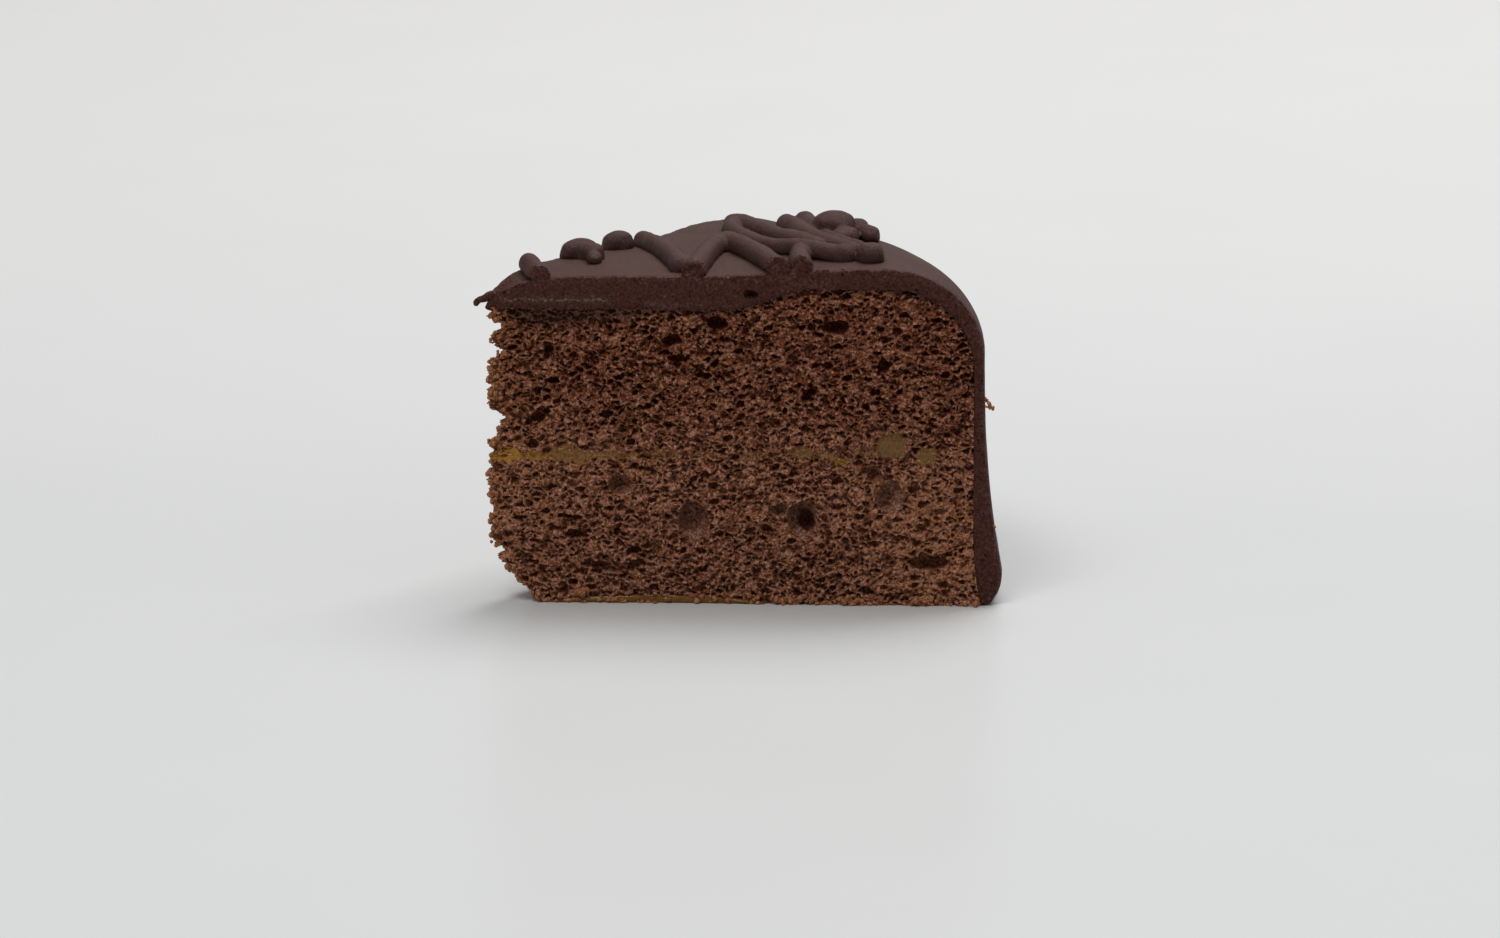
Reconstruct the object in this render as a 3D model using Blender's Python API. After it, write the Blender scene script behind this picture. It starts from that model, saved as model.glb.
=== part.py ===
"""A wedge cut from a sachertorte, modelled for Blender 4.5 (metres, +Z up).

The slice is two chocolate sponge layers with apricot jam between them and a little more under
them, a poured chocolate icing that covers the top and runs down the rim, and piped chocolate
drops and strings on the icing.

Everything is modelled about the torte's own axis, which is the slice's apex: the near cut runs
along +X, the far cut lies SLICE_ANGLE further round, and z = 0 is what the slice stands on.  The
last step moves the whole slice so that the origin is under the middle of its box.
"""

import math

import bmesh
import bpy
from mathutils import Matrix, Vector
from mathutils.geometry import delaunay_2d_cdt

MM = 0.001
GAP = 0.3 * MM  # between pieces that touch

# The torte and the wedge
TORTE_RADIUS = 79.7 * MM  # apex to the icing's outside, halfway up the rim
SLICE_ANGLE = math.radians(52)
TOP_HEIGHT = 54.6 * MM  # the icing's highest run, just inside the shoulder
WEDGE_STEPS = 11

# Icing, outside: a dished top, an elliptic shoulder, a rim that flares to a foot
DISH_DEPTH = 1.3 * MM
DISH_EDGE = (35 * MM, 58 * MM)  # the top climbs out of the dish between these radii
NOSE_DROOP = 5.6 * MM
NOSE_REACH = 4.2 * MM
NOSE_BLUNT = 1.2 * MM
NOSE_HEIGHT = 49.6 * MM  # of the nose's foremost edge
SHOULDER_START = 64 * MM
SHOULDER_DROP = 14.1 * MM
FOOT_FLARE = 4.1 * MM
FLARE_POWER = 2.2
FOOT_HEIGHT = 5.3 * MM
FOOT_TUCK = 2.9 * MM

# Icing, inside: thick over the middle, thin over the rim
SPONGE_MIDDLE_TOP = 48.0 * MM
SPONGE_RIM_TOP = 51.5 * MM
SPONGE_RISE = (39 * MM, 53 * MM)
SPONGE_RADIUS = 78.1 * MM
SPONGE_SHOULDER_START = 64.5 * MM
SPONGE_SHOULDER_DROP = 13.1 * MM
SPONGE_SPREAD = 1.2 * MM  # the crust spreads this much at the base
SPREAD_HEIGHT = 13 * MM

# Jam: a thin layer with lumps that sank into the crumb above it
JAM_LEVEL = 23.7 * MM
JAM_THICKNESS = 1.1 * MM
JAM_LUMPS = (  # radius, turn as a share of the wedge, height, half width
    (8 * MM, 0.00, 0.7 * MM, 5.0 * MM),
    (15 * MM, 0.10, 0.6 * MM, 2.5 * MM),
    (30 * MM, 0.55, 0.9 * MM, 5.0 * MM),
    (46 * MM, 0.90, 1.0 * MM, 4.0 * MM),
    (53 * MM, 0.35, 0.7 * MM, 5.0 * MM),
    (64.8 * MM, 0.00, 2.3 * MM, 2.8 * MM),
    (70.5 * MM, 0.03, 0.9 * MM, 1.8 * MM),
    (66 * MM, 0.80, 1.6 * MM, 3.5 * MM),
)
BASE_JAM_SPAN = (10.4 * MM, 45 * MM)
BASE_JAM_THICKNESS = 1.3 * MM

# How uneven the torte and its cuts are
UNEVEN_HEIGHT = 0.3 * MM
UNEVEN_RADIUS = 0.25 * MM
FAR_DROOP = 2.0 * MM  # the icing sags toward the far corner, between these radii
FAR_DROOP_SPAN = (48 * MM, 72 * MM)
FAR_DROOP_TURN = (0.45, 0.95)
SWELL_WAVE = 13 * MM  # radians of each wave are a radius or height over these
KNIFE_SWAY = 0.0035  # radians
KNIFE_WAVES = (11 * MM, 12 * MM)  # up the cut and along it
JAM_WAVE = (0.35 * MM, 7 * MM)  # of the jam's underside: height, and radius over it in radians

# The tip is crumbled across its end, with notches between the crumbs that stand out, and its
# lower corner is gone
TIP_BLUNT = 0.8 * MM
TIP_NOTCHES = (  # height, depth, half height
    (44.8 * MM, 2.3 * MM, 1.2 * MM),
    (40.6 * MM, 2.4 * MM, 1.2 * MM),
    (35.0 * MM, 0.5 * MM, 0.8 * MM),
    (29.8 * MM, 2.6 * MM, 1.3 * MM),
    (27.4 * MM, 1.2 * MM, 1.2 * MM),
    (24.6 * MM, 0.9 * MM, 0.7 * MM),
    (15.6 * MM, 0.5 * MM, 1.0 * MM),
    (8.4 * MM, 1.8 * MM, 0.9 * MM),
)
CORNER_REACH = 8 * MM
CORNER_HEIGHT = 10 * MM
CORNER_POWER = 1.3

# Large bubbles opened by the near cut: distance from the apex, height, half width, half height
BUBBLES = {
    "sponge_lower": (
        (22.0 * MM, 18.6 * MM, 1.7 * MM, 1.4 * MM),
        (33.5 * MM, 13.4 * MM, 2.4 * MM, 3.0 * MM),
        (51.4 * MM, 13.4 * MM, 2.3 * MM, 2.7 * MM),
        (71.6 * MM, 7.2 * MM, 3.2 * MM, 1.5 * MM),
    ),
    "sponge_upper": (
        (37.2 * MM, 44.6 * MM, 1.6 * MM, 1.0 * MM),
        (56.2 * MM, 45.4 * MM, 2.3 * MM, 1.3 * MM),
    ),
}
BUBBLE_DEPTH = 2.2 * MM

# Piping, as plan points from the apex in millimetres: along the near cut, then away from it.
# A third number lifts a string where it runs over another.
STRING_RADIUS = 1.8 * MM
STRING_SIDES = 9
STRING_STEP = 2.0 * MM
STRING_ENDS = ((0.95, 0.3), (0.6, 0.8))  # rings beyond an end: distance and size over the radius
DROPS = {  # name: parts of a drop, each the middle in millimetres, half sizes and turn in degrees
    "piped_drop_middle": (((14.5, 14.4), (2.9, 2.4, 2.0), 10), ((16.8, 11.4), (1.6, 1.9, 1.7), 0)),
    "piped_drop_far": (((20.3, 23.2), (2.6, 2.1, 2.0), 20),),
}
STRINGS = {  # name: strings, each its plan points and its radius as a share of STRING_RADIUS
    "piped_drop_tip": ((((7.2, 6.0), (8.3, 3.0), (9.3, 0.0), (10.0, -3.0)), 0.90),),
    "piped_arch": (
        (((24.2, 26.8), (25.4, 24.4), (27.3, 19.7), (29.4, 13.6), (31.4, 7.2), (33.3, 1.0),
          (34.2, -3.0)), 0.92),
        (((33.0, -3.0), (33.3, 3.0), (33.8, 12.0), (35.0, 19.4), (37.1, 22.0), (39.6, 19.0),
          (42.0, 14.0), (44.6, 7.4), (47.1, 0.0), (48.1, -3.0)), 1.0),
    ),
    "piped_scroll": (
        (((38.3, 36.6), (40.0, 36.0), (43.0, 30.4), (46.5, 23.6), (49.8, 18.4), (52.6, 13.6)), 0.96),
        (((38.6, 36.6), (38.3, 32.4), (40.0, 26.6), (42.9, 20.0), (46.4, 15.0), (50.2, 11.8, 0.4),
          (53.4, 8.4, 0.6), (56.6, 6.6), (60.0, 6.4)), 0.86),
        (((46.2, 37.6, 0.2), (48.3, 31.4), (51.0, 23.6), (54.0, 16.6), (57.0, 11.0), (59.6, 7.6)), 0.94),
        (((49.6, 37.4, 0.2), (51.4, 31.2), (53.6, 23.4), (56.6, 17.4), (59.4, 12.6)), 0.90),
        (((50.2, 10.0), (50.3, 5.0), (50.8, 0.0), (51.0, -3.0)), 0.94),
        (((54.6, 24.0), (56.0, 26.4), (57.8, 26.2), (59.0, 21.8)), 0.76),
    ),
}
SCROLL_DROPS = (  # drops that the scroll's strings run into
    ((54.6, 31.2), (3.4, 2.8, 2.7), 10),
    ((58.6, 30.6), (2.0, 2.0, 1.9), 0),
    ((60.9, 25.6), (1.8, 1.8, 1.6), -35),
    ((61.4, 6.2), (2.3, 2.3, 2.2), 0),
)
ROOM_FLOOR = 44 * MM  # heights between which piping is trimmed to the icing and the cuts
ROOM_TOP = 75 * MM
STRING_SINK = 0.42  # how far a string's middle stands above the icing, as a share of its radius


def smoothstep(low, high, value):
    """0 below low, 1 above high, and a smooth climb between them."""
    t = min(1.0, max(0.0, (value - low) / (high - low)))
    return t * t * (3 - 2 * t)


def spaced(low, high, count):
    """count numbers from low to high, both included."""
    return [low + (high - low) * i / (count - 1) for i in range(count)]


# ---------------------------------------------------------------- section lines


def icing_top(r):
    """Height of the icing's top at a radius inside the shoulder."""
    dish = DISH_DEPTH * (1 - smoothstep(*DISH_EDGE, r))
    return TOP_HEIGHT - dish - NOSE_DROOP * math.exp(-r / NOSE_REACH)


def icing_outline(nose):
    """The icing's outer line as (radius, height), from the nose over the shoulder to the foot."""
    line = [(r, icing_top(r)) for r in (nose, nose + 1.2 * MM, nose + 3 * MM, 7 * MM, 11 * MM)]
    line += [(r, icing_top(r)) for r in spaced(18 * MM, SHOULDER_START, 8)]
    middle = TOP_HEIGHT - SHOULDER_DROP
    reach = TORTE_RADIUS - SHOULDER_START
    for i in range(1, 9):
        turn = math.pi / 2 * i / 8
        line.append((SHOULDER_START + reach * math.sin(turn), middle + SHOULDER_DROP * math.cos(turn)))
    for z in spaced(middle, FOOT_HEIGHT, 8)[1:]:
        line.append((TORTE_RADIUS + FOOT_FLARE * (1 - z / middle) ** FLARE_POWER, z))
    foot = line[-1][0] - FOOT_TUCK
    for i in range(1, 6):
        turn = math.pi / 2 * i / 5
        line.append((foot + FOOT_TUCK * math.cos(turn), FOOT_HEIGHT * (1 - math.sin(turn))))
    return line


def sponge_top(r):
    """Height of the icing's underside at a radius inside the sponge's shoulder."""
    rise = SPONGE_RIM_TOP - SPONGE_MIDDLE_TOP
    return SPONGE_MIDDLE_TOP + rise * smoothstep(*SPONGE_RISE, r)


def sponge_side(z):
    """Radius of the icing's inner wall at a height below the sponge's shoulder."""
    return SPONGE_RADIUS + SPONGE_SPREAD * max(0.0, 1 - z / SPREAD_HEIGHT) ** 2


def sponge_outline(nose, bottom, inset):
    """The line between sponge and icing, moved in by inset, from the nose to the height bottom."""
    radii = [nose, 12 * MM, 24 * MM, *spaced(36 * MM, 55 * MM, 8), SPONGE_SHOULDER_START]
    line = [(r, sponge_top(r) - inset) for r in radii]
    middle = SPONGE_RIM_TOP - SPONGE_SHOULDER_DROP
    reach = SPONGE_RADIUS - SPONGE_SHOULDER_START - inset
    drop = SPONGE_SHOULDER_DROP - inset
    for i in range(1, 8):
        turn = math.pi / 2 * i / 7
        line.append((SPONGE_SHOULDER_START + reach * math.sin(turn), middle + drop * math.cos(turn)))
    for z in spaced(middle, bottom, 5)[1:]:
        line.append((sponge_side(z) - inset, z))
    return line


def blunt(reach, turn):
    """Radius at a share of the wedge where a blunt end, reach away from the apex, is met."""
    return reach / math.cos(turn * SLICE_ANGLE)


def tip_radius(z, turn):
    """Radius at which the crumbled tip starts at a height and a share of the wedge."""
    notches = sum(deep * math.exp(-(((z - at) / high) ** 2)) for at, deep, high in TIP_NOTCHES)
    missing = max(0.0, 1 - z / CORNER_HEIGHT)
    return blunt(TIP_BLUNT + notches + CORNER_REACH * missing**CORNER_POWER, turn)


def jam_top(r, turn):
    """Height of the jam's upper side, with its lumps, at a radius and a share of the wedge."""
    height = JAM_LEVEL + JAM_THICKNESS
    for radius, share, lump, width in JAM_LUMPS:
        across = (turn - share) * SLICE_ANGLE * radius
        height += lump * math.exp(-((r - radius) ** 2 + across**2) / width**2)
    return height


def jam_bottom(r, turn):
    """Height of the jam's underside, which waves a little with the crumb below it."""
    height, length = JAM_WAVE
    return JAM_LEVEL + height * math.sin(r / length + 5 * turn)


def base_jam_start(turn):
    """Radius at which the hollow for the jam under the slice starts, beyond the missing corner."""
    return max(BASE_JAM_SPAN[0], tip_radius(0.0, turn) + 0.6 * MM)


def base_jam_top(r):
    """Height of the film of jam under the slice, a flat arch over its span."""
    low, high = BASE_JAM_SPAN
    share = (r - low) / (high - low)
    return BASE_JAM_THICKNESS * math.sqrt(max(0.0, math.sin(math.pi * share)))


# ---------------------------------------------------------------- unevenness of the whole slice


def uneven(r, turn, z):
    """The point (x, y, z) of a section point, with the torte's uneven height and the knife's path."""
    swell = UNEVEN_HEIGHT * math.sin(r / SWELL_WAVE + 5 * turn + 3) * smoothstep(0.0, 0.3, turn)
    swell -= FAR_DROOP * smoothstep(*FAR_DROOP_TURN, turn) * smoothstep(*FAR_DROOP_SPAN, r)
    bulge = UNEVEN_RADIUS * math.sin(7 * turn) * r / TORTE_RADIUS
    knife = KNIFE_SWAY * (math.sin(z / KNIFE_WAVES[0] + 1.0) + math.sin(r / KNIFE_WAVES[1]))
    angle = turn * SLICE_ANGLE + knife
    reach = r + bulge
    return Vector((reach * math.cos(angle), reach * math.sin(angle), z * (1 + swell / TOP_HEIGHT)))


def icing_surface(x, y):
    """Height of the icing's top under the plan point (x, y)."""
    r = math.hypot(x, y)
    turn = math.atan2(y, x) / SLICE_ANGLE
    z = icing_top(r)
    if r > SHOULDER_START:
        share = min(1.0, (r - SHOULDER_START) / (TORTE_RADIUS - SHOULDER_START))
        z = TOP_HEIGHT - SHOULDER_DROP * (1 - math.sqrt(1 - share**2))
    return uneven(r, min(1.0, max(0.0, turn)), z).z


# ---------------------------------------------------------------- mesh building


def add_object(name, bm, material):
    """A named object from a bmesh, with its material and smooth shading that keeps sharp edges."""
    bmesh.ops.recalc_face_normals(bm, faces=bm.faces)
    mesh = bpy.data.meshes.new(name)
    bm.to_mesh(mesh)
    bm.free()
    obj = bpy.data.objects.new(name, mesh)
    bpy.context.scene.collection.objects.link(obj)
    if material:
        mesh.materials.append(material)
    mesh.shade_smooth()
    mesh.set_sharp_from_angle(angle=math.radians(40))
    return obj


def section_triangles(section):
    """Triangles, as indices, that fill a closed section."""
    flat = [Vector((r / MM, z / MM)) for r, z in section]
    result = delaunay_2d_cdt(flat, [], [list(range(len(flat)))], 1, 1e-6)
    faces, sources = result[2], result[3]
    return [[sources[i][0] for i in face] for face in faces]


def wedge(name, section_at, material):
    """A solid whose closed section, a list of (radius, height), is carried round the wedge.

    Every facet's diagonal leaves from its inner corner, so that two pieces that share a line
    have the same facets along it.
    """
    bm = bmesh.new()
    rings = []
    for step in range(WEDGE_STEPS + 1):
        turn = step / WEDGE_STEPS
        section = section_at(turn)
        rings.append([bm.verts.new(uneven(r, turn, z)) for r, z in section])
    for ring, after in zip(rings, rings[1:]):
        for i, (r, _) in enumerate(section):
            j = (i + 1) % len(section)
            near, far = (i, j) if r <= section[j][0] else (j, i)
            bm.faces.new((ring[near], ring[far], after[far]))
            bm.faces.new((ring[near], after[far], after[near]))
    for ring, turn in ((rings[0], 0.0), (rings[-1], 1.0)):
        for triangle in section_triangles(section_at(turn)):
            bm.faces.new([ring[i] for i in triangle])
    return add_object(name, bm, material)


def smooth_path(points):
    """Evenly spaced points on a curve through the given ones (Catmull-Rom)."""
    knots = [points[0] * 2 - points[1], *points, points[-1] * 2 - points[-2]]
    fine = []
    for a, b, c, d in zip(knots, knots[1:], knots[2:], knots[3:]):
        for t in spaced(0.0, 1.0, 13)[:-1]:
            fine.append(
                0.5 * (2 * b + (c - a) * t + (2 * a - 5 * b + 4 * c - d) * t**2
                       + (3 * b - a - 3 * c + d) * t**3)
            )
    fine.append(points[-1])
    travelled = [0.0]
    for a, b in zip(fine, fine[1:]):
        travelled.append(travelled[-1] + (b - a).length)
    length = travelled[-1]
    count = max(3, round(length / STRING_STEP))
    path, at = [], 0
    for goal in spaced(0.0, length, count + 1):
        while at < len(fine) - 2 and travelled[at + 1] < goal:
            at += 1
        share = (goal - travelled[at]) / (travelled[at + 1] - travelled[at])
        path.append(fine[at].lerp(fine[at + 1], min(1.0, share)))
    return path


def string_mesh(plan, radius):
    """A round string of chocolate that lies along plan points on the icing, with rounded ends."""
    points = []
    for x, y, *lift in plan:
        raised = radius * STRING_SINK + (lift[0] if lift else 0) * MM
        points.append(Vector((x * MM, y * MM, icing_surface(x * MM, y * MM) + raised)))
    path = smooth_path(points)
    start = (path[0] - path[1]).normalized() * radius
    end = (path[-1] - path[-2]).normalized() * radius
    stations = [(path[0] + start * reach, size) for reach, size in STRING_ENDS]
    stations += [(point, 1.0) for point in path]
    stations += [(path[-1] + end * reach, size) for reach, size in reversed(STRING_ENDS)]
    bm = bmesh.new()
    rings = []
    for i, (middle, rounding) in enumerate(stations):
        after, before = stations[min(i + 1, len(stations) - 1)][0], stations[max(i - 1, 0)][0]
        along = (after - before).normalized()
        side = along.cross(Vector((0, 0, 1))).normalized()
        up = side.cross(along)
        ring = []
        for j in range(STRING_SIDES):
            angle = 2 * math.pi * j / STRING_SIDES
            arm = side * math.cos(angle) + up * math.sin(angle)
            ring.append(bm.verts.new(middle + arm * radius * rounding))
        rings.append(ring)
    for ring, after in zip(rings, rings[1:]):
        for j in range(STRING_SIDES):
            k = (j + 1) % STRING_SIDES
            bm.faces.new((ring[j], ring[k], after[k], after[j]))
    bm.faces.new(rings[0])
    bm.faces.new(rings[-1])
    return bm


def drop_mesh(middle, sizes, turn):
    """A drop of chocolate: an ellipsoid that stands on the icing at a plan point in millimetres."""
    x, y = (value * MM for value in middle)
    half = Vector(size * MM for size in sizes)
    place = Matrix.Translation((x, y, icing_surface(x, y) + half.z * STRING_SINK))
    place = place @ Matrix.Rotation(math.radians(turn), 4, "Z") @ Matrix.Diagonal((*half, 1))
    bm = bmesh.new()
    bmesh.ops.create_uvsphere(bm, u_segments=12, v_segments=8, radius=1.0, matrix=place)
    return bm


def room_over_icing():
    """The space that piping may fill: between the two cuts, from a gap over the icing upward."""

    def section(turn):
        top = [(r, z + GAP) for r, z in icing_outline(blunt(NOSE_BLUNT, turn)) if z > ROOM_FLOOR]
        return [*top, (top[-1][0], ROOM_TOP), (top[0][0], ROOM_TOP)]

    return wedge("room_over_icing", section, None)


def piping(name, shapes, material):
    """Strings and drops joined into one solid that rests on the icing and ends with the cuts."""
    parts = [add_object(f"{name}_part", bm, None) for bm in shapes]
    room = room_over_icing()
    for other in [*parts[1:], room]:
        step = parts[0].modifiers.new("join", "BOOLEAN")
        step.operation = "INTERSECT" if other is room else "UNION"
        step.object = other
    bpy.context.view_layer.update()
    evaluated = parts[0].evaluated_get(bpy.context.evaluated_depsgraph_get())
    bm = bmesh.new()
    bm.from_mesh(evaluated.to_mesh())
    evaluated.to_mesh_clear()
    for part in [*parts, room]:
        bpy.data.objects.remove(part)
    bmesh.ops.remove_doubles(bm, verts=bm.verts, dist=0.01 * MM)
    return add_object(name, bm, material)


def open_bubbles(obj):
    """Cuts the large bubbles into the near face of a sponge layer."""
    for i, (x, z, wide, tall) in enumerate(BUBBLES[obj.name]):
        bm = bmesh.new()
        place = Matrix.Translation((x, 0, z)) @ Matrix.Diagonal((wide, BUBBLE_DEPTH, tall, 1))
        bmesh.ops.create_uvsphere(bm, u_segments=10, v_segments=6, radius=1.0, matrix=place)
        cutter = add_object(f"{obj.name}_bubble_{i}", bm, None)
        cutter.hide_render = True
        cutter.display_type = "WIRE"
        cut = obj.modifiers.new(f"bubble_{i}", "BOOLEAN")
        cut.operation = "DIFFERENCE"
        cut.object = cutter


# ---------------------------------------------------------------- materials


def make_material(name, colour, roughness):
    """A plain finish: colour, roughness, not metallic."""
    material = bpy.data.materials.new(name)
    material.use_nodes = True
    shader = material.node_tree.nodes["Principled BSDF"]
    shader.inputs["Base Color"].default_value = (*colour, 1)
    shader.inputs["Roughness"].default_value = roughness
    shader.inputs["Metallic"].default_value = 0
    return material


# ---------------------------------------------------------------- the pieces


def sponge_lower(material):
    """The lower sponge layer, from what the slice stands on up to the jam."""
    high = BASE_JAM_SPAN[1]

    def section(turn):
        side = [(sponge_side(z) - GAP, z) for z in spaced(0.0, JAM_LEVEL - MM, 6)]
        top = jam_line(jam_bottom, turn, -GAP)
        tip = [(tip_radius(z, turn), z) for z in spaced(JAM_LEVEL - 1.2 * MM, 0.8 * MM, 16)]
        start = base_jam_start(turn)
        film = [(r, base_jam_top(r) + GAP) for r in spaced(start + 0.5 * MM, high, 10)]
        return [*side, *top[::-1], *tip, (start, 0.0), *film, (high + 0.4 * MM, 0.0)]

    return wedge("sponge_lower", section, material)


def sponge_upper(material):
    """The upper sponge layer, from the jam up to the icing, with its rounded shoulder."""

    def section(turn):
        bottom = jam_line(jam_top, turn, GAP)
        tip_top = SPONGE_MIDDLE_TOP - GAP
        outer = sponge_outline(tip_radius(tip_top, turn), JAM_LEVEL + 3 * MM, GAP)
        tip = [(tip_radius(z, turn), z) for z in spaced(JAM_LEVEL + 2.6 * MM, tip_top - MM, 22)]
        return [*bottom, *outer[::-1], *tip[::-1]]

    return wedge("sponge_upper", section, material)


def jam_line(height_at, turn, offset):
    """Points from the tip to the rim along one side of the jam, moved up by offset."""
    inner = tip_radius(JAM_LEVEL, turn)
    outer = SPONGE_RADIUS - GAP
    radii = [inner, *spaced(4.5 * MM, 57 * MM, 11), *spaced(60 * MM, 72 * MM, 9), outer]
    return [(r, height_at(r, turn) + offset) for r in radii]


def jam_filling(material):
    """The layer of apricot jam that runs right through the slice."""

    def section(turn):
        return [*jam_line(jam_bottom, turn, 0), *jam_line(jam_top, turn, 0)[::-1]]

    return wedge("jam_filling", section, material)


def jam_base(material):
    """The film of apricot jam under the inner half of the slice."""
    high = BASE_JAM_SPAN[1]

    def section(turn):
        start = base_jam_start(turn) + 0.5 * MM + GAP
        film = [(r, base_jam_top(r)) for r in spaced(start + 0.5 * MM, high - 0.7 * MM, 10)]
        return [(start, 0.0), (high - 0.3 * MM, 0.0), *film[::-1]]

    return wedge("jam_base", section, material)


def icing(material):
    """The poured icing: over the top, round the shoulder and down the rim to its foot."""

    def section(turn):
        nose = blunt(NOSE_BLUNT, turn)
        inside = sponge_outline(nose + 0.2 * MM, 0.0, 0.0)
        return [*icing_outline(nose), *inside[::-1], (nose - 0.4 * MM, NOSE_HEIGHT)]

    return wedge("icing", section, material)


def clear_scene():
    """Removes whatever the file opened with."""
    for obj in list(bpy.data.objects):
        bpy.data.objects.remove(obj)


def centre_on_origin(objects):
    """Moves all meshes so that the origin is under the middle of the slice's box."""
    bpy.context.view_layer.update()
    corners = [Vector(c) for obj in objects if not obj.hide_render for c in obj.bound_box]
    low = [min(c[i] for c in corners) for i in range(3)]
    high = [max(c[i] for c in corners) for i in range(3)]
    shift = Matrix.Translation((-(low[0] + high[0]) / 2, -(low[1] + high[1]) / 2, -low[2]))
    for obj in objects:
        obj.data.transform(shift)


def main():
    """Builds the slice."""
    clear_scene()
    crumb = make_material("chocolate_sponge", (0.066, 0.026, 0.014), 0.95)
    chocolate = make_material("chocolate_icing", (0.052, 0.026, 0.021), 0.55)
    apricot = make_material("apricot_jam", (0.22, 0.095, 0.018), 0.3)
    for layer in (sponge_lower(crumb), sponge_upper(crumb)):
        open_bubbles(layer)
    jam_filling(apricot)
    jam_base(apricot)
    icing(chocolate)
    for name, drops in DROPS.items():
        piping(name, [drop_mesh(*drop) for drop in drops], chocolate)
    for name, strings in STRINGS.items():
        shapes = [string_mesh(plan, STRING_RADIUS * share) for plan, share in strings]
        if name == "piped_scroll":
            shapes += [drop_mesh(*drop) for drop in SCROLL_DROPS]
        piping(name, shapes, chocolate)
    centre_on_origin([obj for obj in bpy.data.objects if obj.type == "MESH"])


main()
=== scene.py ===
"""Looks for a slice of chocolate torte: porous crumb, jam, poured icing and piped chocolate.

Every curve of the slice comes from one Torte, which holds its sizes about the torte's own axis: r is
the distance from the axis, turn runs from 0 at the near cut to 1 at the far cut, and z is the height.
Each sub-assembly is a class that works its surfaces out as numpy grids and dresses them.
"""

from __future__ import annotations

import logging
import math
from dataclasses import dataclass, field
from enum import Enum
from itertools import product
from typing import Callable

import bmesh
import bpy
import numpy as np
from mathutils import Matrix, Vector

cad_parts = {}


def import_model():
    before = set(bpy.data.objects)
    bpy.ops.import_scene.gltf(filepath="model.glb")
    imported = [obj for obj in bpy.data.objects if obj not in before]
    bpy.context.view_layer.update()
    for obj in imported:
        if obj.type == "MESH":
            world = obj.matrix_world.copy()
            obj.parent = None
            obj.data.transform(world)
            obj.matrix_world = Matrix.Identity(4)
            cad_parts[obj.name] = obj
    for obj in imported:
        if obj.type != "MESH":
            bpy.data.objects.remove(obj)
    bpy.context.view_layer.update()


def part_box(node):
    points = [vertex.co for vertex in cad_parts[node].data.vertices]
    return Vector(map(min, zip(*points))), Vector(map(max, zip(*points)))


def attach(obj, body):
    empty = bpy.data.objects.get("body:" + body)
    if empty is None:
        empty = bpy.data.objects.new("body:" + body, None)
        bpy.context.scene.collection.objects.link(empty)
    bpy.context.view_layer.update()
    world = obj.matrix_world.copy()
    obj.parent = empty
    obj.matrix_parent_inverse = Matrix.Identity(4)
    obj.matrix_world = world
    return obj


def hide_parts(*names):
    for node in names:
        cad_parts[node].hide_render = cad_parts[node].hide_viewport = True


MM = 0.001
LOG = logging.getLogger("cake_slice")
Colour = tuple[float, float, float]
Array = np.ndarray


# ------------------------------------------------------------------ noise and small numeric helpers


def smoothstep(low: float, high: float, value: Array) -> Array:
    """0 below low, 1 above high, and 3t^2 - 2t^3 between them."""
    t = np.clip((value - low) / (high - low), 0.0, 1.0)
    return t * t * (3 - 2 * t)


def lattice(cell: Array, seed: int, channel: int = 0) -> Array:
    """Repeatable random numbers for whole-numbered cells.

    Args:
        cell: whole numbers, shape (n, 3).
        seed: names the pattern.
        channel: names one of several numbers of the same cell.

    Returns:
        Numbers from 0 to 1, shape (n,), from mixing the three coordinates' bits.
    """
    c = cell.astype(np.int64).astype(np.uint32)
    h = c[:, 0] * np.uint32(73856093) ^ c[:, 1] * np.uint32(19349663) ^ c[:, 2] * np.uint32(83492791)
    h = h ^ np.uint32((seed * 2654435761 + channel * 374761393) & 0xFFFFFFFF)
    h = (h ^ (h >> np.uint32(16))) * np.uint32(2246822519)
    h = (h ^ (h >> np.uint32(13))) * np.uint32(3266489917)
    return ((h ^ (h >> np.uint32(16))) & np.uint32(0xFFFFFF)).astype(np.float64) / 0xFFFFFF


def waves(points: Array, size: float, seed: int, octaves: int = 1) -> Array:
    """Smooth noise from -1 to 1: lattice numbers blended by smoothed weights, halved at each octave.

    Args:
        points: positions, shape (..., 3).
        size: distance between the first octave's lattice points.
        seed: names the pattern.
        octaves: how many layers, each half the size and strength of the last.

    Returns:
        The noise at each point, shape (...).
    """
    flat = points.reshape(-1, 3) / size
    total, strength, reach = np.zeros(len(flat)), 1.0, 0.0
    for octave in range(octaves):
        base = np.floor(flat)
        part = flat - base
        part = part * part * (3 - 2 * part)
        value = np.zeros(len(flat))
        for corner in product((0, 1), repeat=3):
            weight = np.prod(np.where(np.array(corner) == 1, part, 1 - part), axis=1)
            value += weight * lattice(base + corner, seed, octave)
        total += strength * (2 * value - 1)
        reach += strength
        flat, strength = flat * 2.03 + 17.3, strength * 0.5
    return (total / reach).reshape(points.shape[:-1])


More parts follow.
